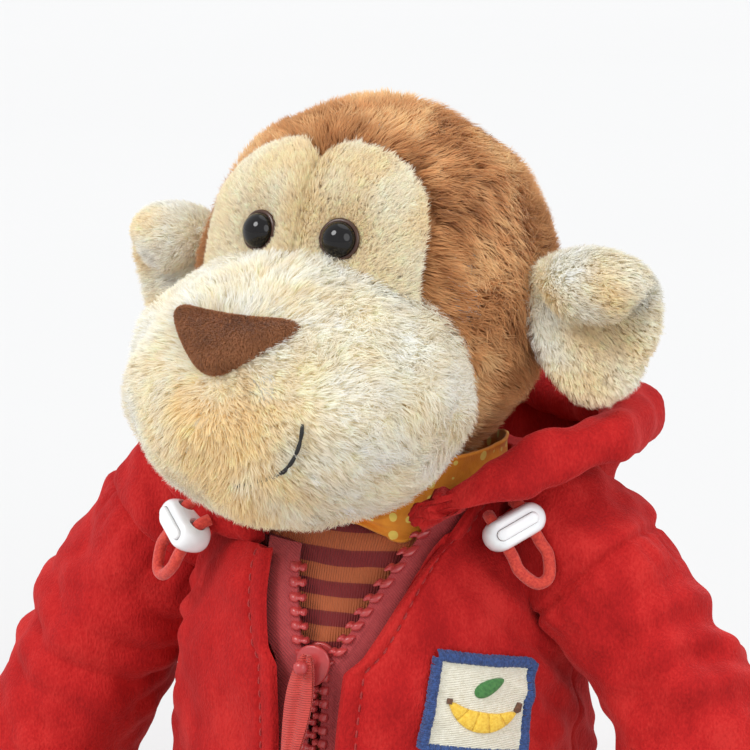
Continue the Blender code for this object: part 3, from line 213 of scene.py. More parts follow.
def shell_faces(rows, columns, wrap=False):
    """Faces of a closed shell whose outer grid is followed by its inner grid."""
    size = rows * columns
    outer = grid_faces(rows, columns, wrap)
    inner = grid_faces(rows, columns, wrap, size)[:, ::-1]
    border = []

    def strip(path):
        path = np.asarray(path)
        a, b = path[:-1], path[1:]
        border.append(np.stack([b, a, a + size, b + size], axis=1))

    bottom = list(range(columns)) + ([0] if wrap else [])
    strip(bottom)
    strip([(rows - 1) * columns + c for c in bottom][::-1])
    if not wrap:
        strip([r * columns + columns - 1 for r in range(rows)])
        strip([r * columns for r in range(rows)][::-1])
    return np.vstack([outer, inner, *border])


def shell(name, outer, thick, material, body, stands_for=(), wrap=False, round_edge=0.0):
    """A sheet of cloth with a wall: outer is a grid whose normals point out of the doll."""
    outer = np.asarray(outer, float)
    normals = grid_normals(outer, wrap)
    thick = np.broadcast_to(np.asarray(thick, float), outer.shape[:2])[..., None]
    inner = outer - normals * thick
    points = np.concatenate([outer.reshape(-1, 3), inner.reshape(-1, 3)])
    rows, columns = outer.shape[:2]
    made = object_of(name, points, shell_faces(rows, columns, wrap), material, body, stands_for)
    if round_edge:
        bevel = made.modifiers.new("soft_edge", "BEVEL")
        bevel.width = round_edge * MM
        bevel.segments = 3
        bevel.limit_method = "ANGLE"
        bevel.angle_limit = math.radians(50)
        bevel.harden_normals = True
    return made


def declare_sheet(grid, wrap=False):
    """Measures the sheet's cut size along its own rows and columns, and does nothing more with it.
    """
    closed = np.concatenate([grid, grid[:, :1]], axis=1) if wrap else grid
    across = np.linalg.norm(np.diff(closed, axis=1), axis=2).sum(axis=1).mean()
    along = np.linalg.norm(np.diff(closed, axis=0), axis=2).sum(axis=0).mean()


def ball_points(level):
    """Points and triangles of a fine unit sphere."""
    work = bmesh.new()
    bmesh.ops.create_icosphere(work, subdivisions=level, radius=1)
    points = np.array([v.co for v in work.verts])
    faces = np.array([[v.index for v in f.verts] for f in work.faces])
    work.free()
    return points, faces


def vertex_normals(points, triangles):
    a, b, c = (points[triangles[:, k]] for k in range(3))
    face = np.cross(b - a, c - a)
    total = np.zeros_like(points)
    for k in range(3):
        np.add.at(total, triangles[:, k], face)
    return unit(total)


def from_cad(node, voxel, smoothing, inset=0.0):
    """A CAD node's own shape, remeshed finely and softened, as points and triangles."""
    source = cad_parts[node]
    work = source.copy()
    work.data = source.data.copy()
    work.hide_render = work.hide_viewport = False
    bpy.context.scene.collection.objects.link(work)
    remesh = work.modifiers.new("even", "REMESH")
    remesh.mode = "VOXEL"
    remesh.voxel_size = voxel * MM
    soften = work.modifiers.new("soft", "SMOOTH")
    soften.iterations = smoothing
    soften.factor = 0.6
    work.modifiers.new("triangles", "TRIANGULATE")
    bpy.context.view_layer.update()
    done = work.evaluated_get(bpy.context.evaluated_depsgraph_get()).to_mesh()
    points = np.empty(len(done.vertices) * 3)
    done.vertices.foreach_get("co", points)
    points = points.reshape(-1, 3) / MM
    triangles = np.empty(len(done.polygons) * 3, dtype=np.int64)
    done.polygons.foreach_get("vertices", triangles)
    triangles = triangles.reshape(-1, 3)
    data = work.data
    bpy.data.objects.remove(work)
    bpy.data.meshes.remove(data)
    points = points - vertex_normals(points, triangles) * inset
    return points, triangles


# ---------------------------------------------------------------- materials

MATERIALS = {}


class Shader:
    """A Principled material, with short calls for its texture nodes."""

    def __init__(self, name, colour=(0.5, 0.5, 0.5), **numbers):
        self.material = bpy.data.materials.new(name)
        self.material.use_nodes = True
        self.nodes = self.material.node_tree.nodes
        self.links = self.material.node_tree.links
        self.main = self.nodes["Principled BSDF"]
        self.main.inputs["Base Color"].default_value = (*colour, 1)
        for key, value in numbers.items():
            socket = self.main.inputs[key.replace("_", " ").title().replace("Ior", "IOR")]
            socket.default_value = (*value, 1) if isinstance(value, tuple) else value
        self.where = self.nodes.new("ShaderNodeTexCoord").outputs["Object"]
        MATERIALS[name] = self.material

    def node(self, kind, inputs=None, **settings):
        made = self.nodes.new("ShaderNode" + kind)
        for key, value in settings.items():
            setattr(made, key, value)
        for key, value in (inputs or {}).items():
            if isinstance(value, bpy.types.NodeSocket):
                self.links.new(value, made.inputs[key])
            else:
                made.inputs[key].default_value = value
        return made

    def noise(self, size, detail=3.0, where=None, rough=0.5):
        """Noise with blobs about size mm wide."""
        made = self.node(
            "TexNoise",
            {
                "Vector": where or self.where,
                "Scale": 1 / (size * MM),
                "Detail": detail,
                "Roughness": rough,
            },
        )
        return made.outputs["Fac"]

    def ramp(self, value, *stops):
        """A colour ramp of (place, colour) stops."""
        made = self.node("ValToRGB", {"Fac": value})
        band = made.color_ramp
        while len(band.elements) < len(stops):
            band.elements.new(0.5)
        for element, (place, colour) in zip(band.elements, stops):
            element.position = place
            element.color = (*colour, 1)
        return made.outputs["Color"]

    def mix(self, share, a, b, kind="MIX"):
        made = self.nodes.new("ShaderNodeMix")
        made.data_type = "RGBA"
        made.blend_type = kind
        for key, value in ((0, share), (6, a), (7, b)):
            if isinstance(value, bpy.types.NodeSocket):
                self.links.new(value, made.inputs[key])
            elif key == 0:
                made.inputs[key].default_value = value
            else:
                made.inputs[key].default_value = (*value, 1)
        return made.outputs[2]

    def math(self, operation, a, b=0.0):
        made = self.node("Math", {0: a, 1: b}, operation=operation)
        return made.outputs[0]

    def colour(self, socket):
        self.links.new(socket, self.main.inputs["Base Color"])

    def relief(self, *layers):
        """Bumps from (height socket, depth in mm) layers."""
        normal = None
        for height, depth in layers:
            inputs = {"Height": height, "Distance": depth * MM, "Strength": 1.0}
            if normal is not None:
                inputs["Normal"] = normal
            normal = self.node("Bump", inputs).outputs["Normal"]
        self.links.new(normal, self.main.inputs["Normal"])


def make_materials():
    pile = Shader("pile", roughness=0.9, sheen_weight=0.25, sheen_roughness=0.5)
    pile.main.inputs["Specular IOR Level"].default_value = 0.2
    tint = pile.node("Attribute", attribute_name="tint").outputs["Color"]
    pile.colour(tint)
    glow = pile.node("BsdfTranslucent", {"Color": tint}).outputs["BSDF"]
    both = pile.node(
        "MixShader", {0: 0.48, 1: pile.main.outputs["BSDF"], 2: glow}
    ).outputs["Shader"]
    pile.links.new(both, pile.nodes["Material Output"].inputs["Surface"])

    # The brown skin is darker than the brown pile as painted shade deep in the pile; the cream skin
    # keeps the cream pile's own colour.
    for name, dark, light in (
        ("brown_skin", (0.34, 0.16, 0.065), (0.46, 0.23, 0.10)),
        ("cream_skin", (0.94, 0.83, 0.62), (0.96, 0.88, 0.70)),
    ):
        skin = Shader(name, roughness=1.0)
        skin.colour(skin.ramp(skin.noise(2.0), (0.3, dark), (0.7, light)))
        skin.relief((skin.noise(0.7), 0.5))

    for name, deep, middle, bright in (
        ("velour", (0.34, 0.008, 0.009), (0.43, 0.012, 0.012), (0.52, 0.024, 0.021)),
        ("nose_velour", (0.21, 0.085, 0.036), (0.28, 0.115, 0.050), (0.36, 0.160, 0.074)),
    ):
        cloth = Shader(name, roughness=0.85, sheen_weight=0.45, sheen_roughness=0.4)
        cloth.main.inputs["Sheen Tint"].default_value = (
            *(min(1, c * 1.6 + 0.1) for c in bright), 1
        )
        cloth.main.inputs["Specular IOR Level"].default_value = 0.15
        napped = cloth.node(
            "Mapping", {"Vector": cloth.where, "Scale": (1.0, 1.0, 0.45)}
        ).outputs["Vector"]
        brushed = cloth.noise(9.0, 4.0, where=napped)
        fine = cloth.noise(0.5, 2.0, where=napped)
        both = cloth.math(
            "ADD", cloth.math("MULTIPLY", brushed, 0.62), cloth.math("MULTIPLY", fine, 0.38)
        )
        cloth.colour(cloth.ramp(both, (0.38, deep), (0.50, middle), (0.64, bright)))
        cloth.relief((cloth.noise(6.0), 0.5), (fine, 0.35))

    thread = Shader("black_thread", (0.008, 0.007, 0.007), roughness=0.6)
    thread.relief((thread.noise(0.25), 0.1))

    eye = Shader("eye_plastic", (0.004, 0.003, 0.003), roughness=0.05)
    eye.main.inputs["Specular IOR Level"].default_value = 0.35
    rim = Shader("eye_rim", (0.05, 0.018, 0.008), roughness=0.25)
    rim.relief((rim.noise(0.6), 0.03))

    jersey = Shader("striped_jersey", roughness=0.85, sheen_weight=0.15)
    height = jersey.node("SeparateXYZ", {0: jersey.where}).outputs["Z"]
    wobble = jersey.math("MULTIPLY", jersey.noise(9.0), 0.0009)
    turn = jersey.math("MULTIPLY", jersey.math("ADD", height, wobble), math.tau / (6.6 * MM))
    band = jersey.math("SINE", turn)
    stripe = jersey.ramp(
        jersey.math("ADD", jersey.math("MULTIPLY", band, 3.0), 0.5),
        (0.35, (0.23, 0.014, 0.016)),
        (0.65, (0.52, 0.125, 0.038)),
    )
    knit = jersey.node(
        "TexWave", {"Vector": jersey.where, "Scale": 520.0, "Distortion": 0.6}, bands_direction="X"
    )
    jersey.colour(jersey.mix(0.18, stripe, jersey.noise(1.2), "MULTIPLY"))
    jersey.relief((knit.outputs["Fac"], 0.18), (jersey.noise(0.5), 0.1))

    cotton = Shader("dotted_cotton", roughness=0.8, sheen_weight=0.1)
    cells = cotton.node(
        "TexVoronoi", {"Vector": cotton.where, "Scale": 1 / (4.0 * MM), "Randomness": 0.3}
    )
    dot = cotton.math("LESS_THAN", cells.outputs["Distance"], 0.29)
    ground = cotton.ramp(cotton.noise(3.0), (0.3, (0.74, 0.245, 0.016)), (0.7, (0.86, 0.33, 0.024)))
    cotton.colour(cotton.mix(dot, ground, (0.88, 0.68, 0.14)))
    cotton.relief((cotton.noise(0.35), 0.12), (cotton.noise(4.0), 0.4))

    tape = Shader("zip_tape", roughness=0.8, sheen_weight=0.2)
    twill = tape.node(
        "TexWave", {"Vector": tape.where, "Scale": 640.0, "Distortion": 0.8},
        bands_direction="DIAGONAL"
    )
    shade = tape.mix(0.18, tape.noise(1.5), twill.outputs["Color"])
    tape.colour(tape.ramp(shade, (0.25, (0.33, 0.028, 0.032)), (0.75, (0.42, 0.045, 0.048))))
    tape.relief((twill.outputs["Fac"], 0.10))

    moulded = Shader("zip_plastic", roughness=0.32, coat_weight=0.15)
    moulded.colour(
        moulded.ramp(moulded.noise(2.5), (0.3, (0.40, 0.035, 0.038)), (0.7, (0.48, 0.052, 0.050)))
    )
    moulded.relief((moulded.noise(0.9), 0.05))

    ribbon = Shader("ribbon", roughness=0.55, sheen_weight=0.2)
    rib = ribbon.node(
        "TexWave", {"Vector": ribbon.where, "Scale": 560.0, "Distortion": 0.3}, bands_direction="Z"
    )
    ribbon.colour(
        ribbon.ramp(ribbon.noise(2.2), (0.3, (0.50, 0.03, 0.022)), (0.7, (0.60, 0.05, 0.035)))
    )
    ribbon.relief((rib.outputs["Fac"], 0.2))

    canvas = Shader("badge_cotton", roughness=0.85)
    weave = canvas.node(
        "TexWave", {"Vector": canvas.where, "Scale": 600.0, "Distortion": 0.5}, bands_direction="Z"
    )
    canvas.colour(
        canvas.ramp(canvas.noise(1.0), (0.3, (0.68, 0.64, 0.50)), (0.7, (0.80, 0.77, 0.64)))
    )
    canvas.relief((weave.outputs["Fac"], 0.12), (canvas.noise(0.4), 0.08))

    for name, deep, bright in (
        ("blue_thread", (0.012, 0.035, 0.13), (0.03, 0.08, 0.26)),
        ("yellow_felt", (0.74, 0.44, 0.03), (0.88, 0.60, 0.07)),
        ("brown_felt", (0.09, 0.035, 0.014), (0.15, 0.06, 0.025)),
        ("green_felt", (0.03, 0.14, 0.03), (0.06, 0.22, 0.05)),
        ("cord_red", (0.48, 0.02, 0.012), (0.68, 0.06, 0.03)),
        ("red_thread", (0.32, 0.010, 0.010), (0.42, 0.02, 0.018)),
    ):
        yarn = Shader(name, roughness=0.75, sheen_weight=0.25)
        yarn.colour(yarn.ramp(yarn.noise(0.6), (0.35, deep), (0.65, bright)))
        yarn.relief((yarn.noise(0.3), 0.15))

    lock = Shader("lock_white", roughness=0.22, coat_weight=0.3, coat_roughness=0.1)
    lock.colour(lock.ramp(lock.noise(4.0), (0.3, (0.80, 0.81, 0.82)), (0.7, (0.88, 0.88, 0.89))))
    lock.relief((lock.noise(1.5), 0.02))

    steel = Shader("spring_steel", (0.55, 0.55, 0.56), metallic=1.0, roughness=0.3)
    steel.relief((steel.noise(0.4), 0.02))
    plain = Shader("washer_plastic", roughness=0.5)
    plain.colour(plain.ramp(plain.noise(2.0), (0.3, (0.7, 0.7, 0.68)), (0.7, (0.8, 0.8, 0.78))))
    fill = Shader("fibre_fill", roughness=1.0)
    fill.colour(fill.ramp(fill.noise(3.0), (0.3, (0.78, 0.78, 0.76)), (0.7, (0.9, 0.9, 0.88))))
    fill.relief((fill.noise(1.0), 0.6))
    paper = Shader("floor", (0.65, 0.645, 0.637), roughness=0.9)
    paper.colour(
        paper.ramp(paper.noise(900.0), (0.3, (0.645, 0.640, 0.632)), (0.7, (0.655, 0.650, 0.642)))
    )


# ---------------------------------------------------------------- pile


def pile(name, surface, body, count, length, comb, colour, seed, **looks):
    """Strands of plush on a surface, as one mesh of tapered blades.

    comb gives the way the pile lies at each root, and colour its middle colour there. lift is how
    far the strands stand up, clump how much neighbours share a tip, where the share of roots kept,
    and steps how the colour changes along a strand.
    """
    lift = looks.get("lift", 0.75)
    clump = looks.get("clump", 0.5)
    width = looks.get("width", 0.27)
    tuft = looks.get("tuft", 12)
    where = looks.get("where")
    points, triangles = surface
    draw = np.random.default_rng(seed)
    a, b, c = (points[triangles[:, k]] for k in range(3))
    weight = np.linalg.norm(np.cross(b - a, c - a), axis=1)
    if where is not None:
        weight = weight * where((a + b + c) / 3)
    chosen = draw.choice(len(triangles), size=count, p=weight / weight.sum())
    u, v = draw.random(count), draw.random(count)
    over = u + v > 1
    u[over], v[over] = 1 - u[over], 1 - v[over]
    root = a[chosen] + (b - a)[chosen] * u[:, None] + (c - a)[chosen] * v[:, None]
    normals = vertex_normals(points, triangles)
    corner = triangles[chosen]
    normal = unit(
        normals[corner[:, 0]] * (1 - u - v)[:, None]
        + normals[corner[:, 1]] * u[:, None]
        + normals[corner[:, 2]] * v[:, None]
    )

    def flat(vectors):
        return unit(vectors - normal * (vectors * normal).sum(axis=1)[:, None])

    lie = flat(comb(root) + draw.normal(size=(count, 3)) * looks.get("stray", 0.35))
    reach = length(root) if callable(length) else np.full(count, float(length))
    reach = (reach * draw.uniform(0.7, 1.15, count))[:, None]
    rise = (lift * draw.uniform(0.75, 1.25, count))[:, None]
    start = unit(lie + normal * rise * 1.6)
    finish = unit(lie + normal * rise * 0.55)
    middle = root + start * reach * 0.5
    tip = middle + finish * reach * 0.5
    centres = draw.choice(count, size=max(1, count // tuft), replace=False)
    tree = KDTree(len(centres))
    for i, at in enumerate(root[centres]):
        tree.insert(at, i)
    tree.balance()
    nearest = np.array([tree.find(at)[1] for at in root])
    leader = centres[nearest]
    pull = clump * draw.uniform(0.6, 1.0, (count, 1))
    tip = blend(tip, tip[leader], pull)
    middle = blend(middle, middle[leader], pull * 0.45)
    root = root - normal * 0.3

    twist = draw.normal(size=(count, 3)) * looks.get("twist", 0.35)
    side_low = unit(np.cross(middle - root, normal + twist))
    side_high = unit(np.cross(tip - middle, normal + twist))
    half = width / 2 * draw.uniform(0.8, 1.2, (count, 1))
    blades = np.stack(
        [
            root - side_low * half,
            root + side_low * half,
            middle - side_high * half * 0.8,
            middle + side_high * half * 0.8,
            tip,
        ],
        axis=1,
    )
    first = np.arange(count)[:, None] * 5
    quads = first + np.array([[0, 1, 3, 2]])
    ends = first + np.array([[2, 3, 4]])
    made = object_of(name, blades.reshape(-1, 3), [quads, ends], "pile", body)

    shade = np.asarray(colour(root), float)
    shade = shade * (1 + 0.04 * draw.normal(size=(count, 1)))
    shade = shade * (1 + 0.05 * draw.normal(size=(len(centres), 1)))[nearest]
    steps = looks.get("steps", DARK_STEPS)
    tint = np.ones((count, 5, 4))
    tint[..., :3] = np.clip(shade[:, None, :] * steps[None], 0, 0.97)
    layer = made.data.color_attributes.new("tint", "FLOAT_COLOR", "POINT")
    layer.data.foreach_set("color", tint.astype(np.float32).ravel())

    return made


BROWN_DARK = np.array((0.46, 0.215, 0.085))
BROWN = np.array((0.70, 0.385, 0.170))
BROWN_GOLD = np.array((0.88, 0.60, 0.32))
CREAM = np.array((0.97, 0.90, 0.76))
CREAM_PALE = np.array((0.97, 0.95, 0.89))
CREAM_GOLD = np.array((0.96, 0.80, 0.52))

# How the colour changes along a strand: two points at its root, two halfway and one at its tip.
# DARK_STEPS darkens the roots as painted shade deep in the pile; the lighter tips are the plush's
# own colour.
PALE_STEPS = np.array([(1.0, 0.97, 0.90)] * 2 + [(1.0, 0.99, 0.97)] * 2 + [(1.03, 1.03, 1.02)])
DARK_STEPS = np.array([(0.78, 0.74, 0.68)] * 2 + [(0.97, 0.96, 0.95)] * 2 + [(1.18, 1.20, 1.22)])
CREAM_PILE = {"slot": "cream_plush", "steps": PALE_STEPS}


# ---------------------------------------------------------------- head


def head_place():
    """The head's frame: its middle in mm, and its turn."""
    low, high = (np.array(corner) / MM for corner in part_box("head_cover"))
    middle = (low + high) / 2
    middle[2] = high[2] - HEAD_HALF[2]
    a = math.radians(HEAD_TURN)
    turn = np.array(((math.cos(a), -math.sin(a), 0), (math.sin(a), math.cos(a), 0), (0, 0, 1)))
    return middle, turn


def to_doll(points):
    """Points of the head's frame, in the doll's frame."""
    middle, turn = HEAD
    return np.asarray(points) @ turn.T + middle


def to_head(points):
    middle, turn = HEAD
    return (np.asarray(points) - middle) @ turn


def head_front(x, z, out=0.0):
    """How far forward the head's surface is at x and z."""
    half = HEAD_HALF + out
    return -half[1] * np.sqrt(np.clip(1 - (x / half[0]) ** 2 - (z / half[2]) ** 2, 0.02, 1))


def muzzle_front(x, z, out=0.0):
    """How far forward the muzzle's surface is, x and z counted from its middle."""
    half = MUZZLE_HALF + out
    bend = np.clip(1 - (x / half[0]) ** 2 - (z / half[2]) ** 2, 0.0, 1)
    return np.stack([x, MUZZLE_MIDDLE[1] - half[1] * np.sqrt(bend), MUZZLE_MIDDLE[2] + z], axis=-1)


def eye_place(side):
    """The eye's seat in the head's frame, and the way it faces."""
    on_head = np.array((side * EYE_X, head_front(EYE_X, EYE_Z), EYE_Z))
    axis = unit(on_head)
    return on_head + axis * 0.6, axis


def eye_dents(points):
    """How deep the face is pulled in round the eyes, at points of the head's frame."""
    depth = np.zeros(len(points))
    for _, side in SIDES:
        seat, _ = eye_place(side)
        depth += 2.6 * bump(np.linalg.norm(points - seat, axis=1), 7.5)
    return depth


def on_brow(x):
    """The brow panel's top edge at x."""
    share = np.clip(1 - np.abs(x / BROW_HALF_WIDTH) ** 2.5, 0, 1) ** 0.4
    return BROW_MIDDLE + (BROW_TOP - 2.2 - BROW_MIDDLE) * share - 3.4 * bump(x, 3.2)


def in_muzzle(points, grow=0.0):
    """True for points of the head's frame inside the muzzle."""
    flat = (points - MUZZLE_MIDDLE) / (MUZZLE_HALF + grow)
    return (flat**2).sum(axis=1) < 1


def in_brow(points, grow=0.0):
    """True for points on the front of the head inside the brow panel's outline."""
    x, y, z = points.T
    inside = (np.abs(x) < BROW_HALF_WIDTH + grow) & (z < on_brow(x) + grow) & (z > BROW_BOTTOM)
    return inside & (y < 0)


def in_head(points, grow=0.0):
    return ((points / (HEAD_HALF + grow)) ** 2).sum(axis=1) < 1


def make_crown():
    points, faces = ball_points(6)
    skin = points * (HEAD_HALF - 2.6)
    skin = skin + unit(points) * (Waves(3, 26)(skin) * 0.5)[:, None]
    skin = skin - unit(points) * eye_dents(skin)[:, None]
    surface = to_doll(skin)
    made = object_of("crown_skin", surface, faces, "brown_skin", "head", ("head_cover",))

    def where(at):
        local = to_head(at)
        hidden = in_muzzle(local, -3) | in_brow(local, -1.5)
        return np.where(hidden | (local[:, 2] < -40), 0.0, 1.0)

    def comb(at):
        local = to_head(at)
        back = np.stack([local[:, 0] * 0.9, 18 + 0 * local[:, 0], local[:, 2] * 0.4 - 14], axis=1)
        swirl = np.stack([Waves(11, 34)(local), Waves(12, 34)(local), Waves(13, 34)(local)], axis=1)
        return unit(back) @ HEAD[1].T + swirl * 0.45

    light = Waves(21, 20)
    patchy = Waves(22, 7)

    def colour(at):
        local = to_head(at)
        share = 0.42 + 0.26 * light(local) + 0.14 * patchy(local)
        # Painted light and shade: lighter towards the top of the head and darker lower down as
        # painted light from above, and darker towards the face as painted shade.
        share = share + 0.30 * smooth(local[:, 2], 8, 40) - 0.30 * smooth(
            -local[:, 1], 12, 28
        ) + 0.08
        share = np.clip(share, 0, 1)[:, None]
        return np.where(
            share < 0.5, blend(BROWN_DARK, BROWN, share * 2), blend(
                BROWN, BROWN_GOLD, share * 2 - 1
            )
        )

    pile("crown_pile", (surface, faces), "head", FUR["crown"], 5.6, comb, colour, 31, where=where)


def make_brow():
    """The cream panel over the eyes: two pillows with a seam between them."""
    columns, rows = 121, 90
    across = np.sin(np.linspace(-math.pi / 2, math.pi / 2, columns))
    x = across * (BROW_HALF_WIDTH - 0.4)
    share = np.linspace(0, 1, rows)[:, None]
    z = blend(BROW_BOTTOM, on_brow(x)[None, :] - 0.3, share)
    x = np.broadcast_to(x, z.shape)
    edge = np.minimum(BROW_HALF_WIDTH - np.abs(x), np.maximum(on_brow(x) - z, 0))
    puff = 1.9 * (1 - np.exp(-edge / 3.0)) - 2.3 * bump(x, 1.7)
    grid = np.stack([x, head_front(x, z), z], axis=-1)
    flat = grid.reshape(-1, 3)
    out = unit(flat / HEAD_HALF**2)
    flat = flat + out * (puff.ravel() - eye_dents(flat) * 0.9)[:, None]
    grid = to_doll(flat).reshape(grid.shape)
    made = shell("brow_skin", grid, 1.6, "cream_skin", "head", ("face_patch",))
    triangles = cut_in_two(grid_faces(rows, columns))

    def where(at):
        return np.where(in_muzzle(to_head(at), -2.5), 0.0, 1.0)

    def comb(at):
        local = to_head(at)
        away = np.stack(
            [np.sign(local[:, 0]) * 7 + local[:, 0] * 0.8, 0 * local[:, 0], 10 + 0.5 * local[:, 2]],
            axis=1,
        )
        return unit(away) @ HEAD[1].T

    tone = Waves(41, 15)

    def colour(at):
        local = to_head(at)
        share = np.clip(0.5 + 0.35 * tone(local) + 0.3 * bump(local[:, 0], 6), 0, 1)[:, None]
        return blend(CREAM, CREAM_GOLD, share * 0.6)

    def length(at):
        local = to_head(at)
        near = np.min([np.linalg.norm(local - eye_place(s)[0], axis=1) for _, s in SIDES], axis=0)
        return 1.3 + 1.9 * smooth(near, 4.5, 11)

    pile(
        "brow_pile",
        (flat_points(grid), triangles),
        "head",
        FUR["brow"],
        length,
        comb,
        colour,
        32,
        where=where,
        lift=0.9,
        **CREAM_PILE,
    )


def flat_points(grid):
    return np.asarray(grid).reshape(-1, 3)


def smile_line(steps=60):
    turn = np.linspace(0, math.pi, steps)
    x = SMILE_HALF_WIDTH * np.cos(turn)
    z = 1.0 - SMILE_DEPTH * np.sin(turn)
    return x, z


def make_muzzle():
    points, faces = ball_points(6)
    half = MUZZLE_HALF - 2.2
    local = points * half
    x, y, z = local.T
    front = smooth(-y, 0, 20)
    groove = 0.9 * bump(x, 1.4) * front * smooth(z, 22, 27)
    chin = 1.2 * bump(np.hypot(x / 1.2, z + 22), 12) * front
    cheeks = 0.9 * bump(np.hypot(np.abs(x) - 24, z + 4), 13) * front
    nose_seat = 0.4 * bump(np.hypot(x, z - 16), 13) * front
    out = -groove + chin + cheeks - nose_seat + 0.45 * Waves(51, 18)(local)
    skin = local + unit(points / half) * out[:, None]
    surface = to_doll(skin + MUZZLE_MIDDLE)
    made = object_of("muzzle_skin", surface, faces, "cream_skin", "head", ("muzzle_cover",))

    def where(at):
        here = to_head(at)
        return np.where(in_head(here, -2.5) | nose_hides(here), 0.0, 1.0)

    swirl = [Waves(seed, 22) for seed in (61, 62, 63)]

    def comb(at):
        here = to_head(at) - MUZZLE_MIDDLE
        away = np.stack([here[:, 0], 6 + 0 * here[:, 0], (here[:, 2] - 12) * 0.9], axis=1)
        turned = np.stack([wave(here) for wave in swirl], axis=1)
        return unit(away) @ HEAD[1].T + turned * 0.28

    tone, fine = Waves(64, 16), Waves(65, 5)

    def colour(at):
        here = to_head(at) - MUZZLE_MIDDLE
        x, y, z = here.T
        gold = bump(np.hypot(x / 1.1, z + 4), 15) + 0.35 * bump(np.hypot(x, z + 20), 12)
        share = np.clip(0.18 + 0.95 * gold + 0.12 * tone(here) + 0.08 * fine(here), 0, 1)[:, None]
        return np.where(
            share < 0.4, blend(CREAM_PALE, CREAM, share / 0.4),
            blend(CREAM, CREAM_GOLD, (share - 0.4) / 0.6)
        )

    smile_x, smile_z = smile_line(40)
    smile = muzzle_front(smile_x, smile_z)

    def length(at):
        here = to_head(at)
        tree = KDTree(len(smile))
        for i, p in enumerate(smile):
            tree.insert(p, i)
        tree.balance()
        near = np.array([tree.find(p)[2] for p in here])
        ends = smooth(np.abs(here[:, 0]), 11, 18)
        shorter = (1 - smooth(near, 0.5, 2.0)) * (0.2 + 0.6 * ends * (here[:, 0] > 0))
        crease = bump(here[:, 0], 1.3) * smooth((here - MUZZLE_MIDDLE)[:, 2], 22, 27)
        return 4.0 * (1 - shorter) * (1 - 0.5 * crease)

    pile(
        "muzzle_pile",
        (surface, faces),
        "head",
        FUR["muzzle"],
        length,
        comb,
        colour,
        33,
        where=where,
        lift=0.85,
        **CREAM_PILE,
    )


def nose_outline(count=72):
    """A triangle with round corners, tip down, as points round the muzzle's middle."""
    tip = NOSE_RISE
    corners = [
        np.array((0.0, tip)),
        np.array((NOSE_HALF_WIDTH, tip + NOSE_HEIGHT)),
        np.array((-NOSE_HALF_WIDTH, tip + NOSE_HEIGHT)),
    ]
    line = []
    for i, corner in enumerate(corners):
        before, after = corners[i - 1], corners[(i + 1) % 3]
        a, b = blend(corner, before, 0.24), blend(corner, after, 0.24)
        for t in np.linspace(0, 1, 9):
            line.append(blend(blend(a, corner, t), blend(corner, b, t), t))
    line = np.array(line)
    closed = np.vstack([line, line[:1]])
    length = np.concatenate([[0], np.cumsum(np.linalg.norm(np.diff(closed, axis=0), axis=1))])
    at = np.linspace(0, length[-1], count, endpoint=False)
    line = np.stack([np.interp(at, length, closed[:, k]) for k in (0, 1)], axis=1)
    middle = np.array((0.0, tip + NOSE_HEIGHT * 0.58))
    a = math.radians(-NOSE_SLANT)
    turn = np.array(((math.cos(a), -math.sin(a)), (math.sin(a), math.cos(a))))
    return middle + (line - middle) @ turn.T, middle


def nose_hides(points):
    """True for points of the head's frame under the nose."""
    here = points - MUZZLE_MIDDLE
    tip = NOSE_RISE
    share = (here[:, 2] - tip - 1.5) / NOSE_HEIGHT
    wide = NOSE_HALF_WIDTH * share * 0.85
    return (here[:, 1] < 0) & (share > 0.1) & (share < 0.72) & (np.abs(here[:, 0]) < wide)


def make_nose():
    outline, middle = nose_outline()
    rings = 26
    share = np.sin(np.linspace(0, math.pi / 2, rings))
    grid = middle + (outline[None] - middle) * share[:, None, None]
    x, z = grid[..., 0], grid[..., 1]
    rise = NOSE_PUFF * np.sqrt(np.clip(1 - share**2.4, 0, 1))[:, None]
    dome = muzzle_front(x, z)
    out = unit((dome - MUZZLE_MIDDLE) / MUZZLE_HALF**2)
    rise = rise + 0.18 * Waves(71, 8)(dome) * (1 - share[:, None] ** 4)
    top = dome + out * (rise - 0.4)[..., None]
    under = dome - out * 1.6
    grid = np.concatenate([top, under[::-1]])[::-1]
    surface = to_doll(grid.reshape(-1, 3))
    count = outline.shape[0]
    faces = grid_faces(2 * rings, count, True)
    made = object_of("nose", surface, faces, "nose_velour", "head", ("nose_pad",))
    close_and_merge(made)
    triangles = cut_in_two(faces)

    def where(at):
        here = to_head(at) - MUZZLE_MIDDLE
        return np.where(np.linalg.norm(here / MUZZLE_HALF, axis=1) > 0.985, 1.0, 0.0)

    tone = Waves(72, 7)

    def colour(at):
        share = np.clip(0.5 + 0.3 * tone(at), 0, 1)[:, None]
        return blend(np.array((0.34, 0.145, 0.065)), np.array((0.47, 0.215, 0.100)), share)

    pile(
        "nose_pile",
        (surface, triangles),
        "head",
        FUR["nose"],
        0.9,
        lambda at: np.tile((0.2, 0.0, -1.0), (len(at), 1)),
        colour,
        34,
        where=where,
        slot="nose_velour",
        lift=0.9,
        width=0.2,
        clump=0.3,
    )


def close_and_merge(made):
    """Joins the points that a grid's poles and edges share."""
    work = bmesh.new()
    work.from_mesh(made.data)
    bmesh.ops.remove_doubles(work, verts=work.verts, dist=0.01 * MM)
    bmesh.ops.recalc_face_normals(work, faces=work.faces)
    work.to_mesh(made.data)
    work.free()
    made.data.polygons.foreach_set("use_smooth", np.full(len(made.data.polygons), True))


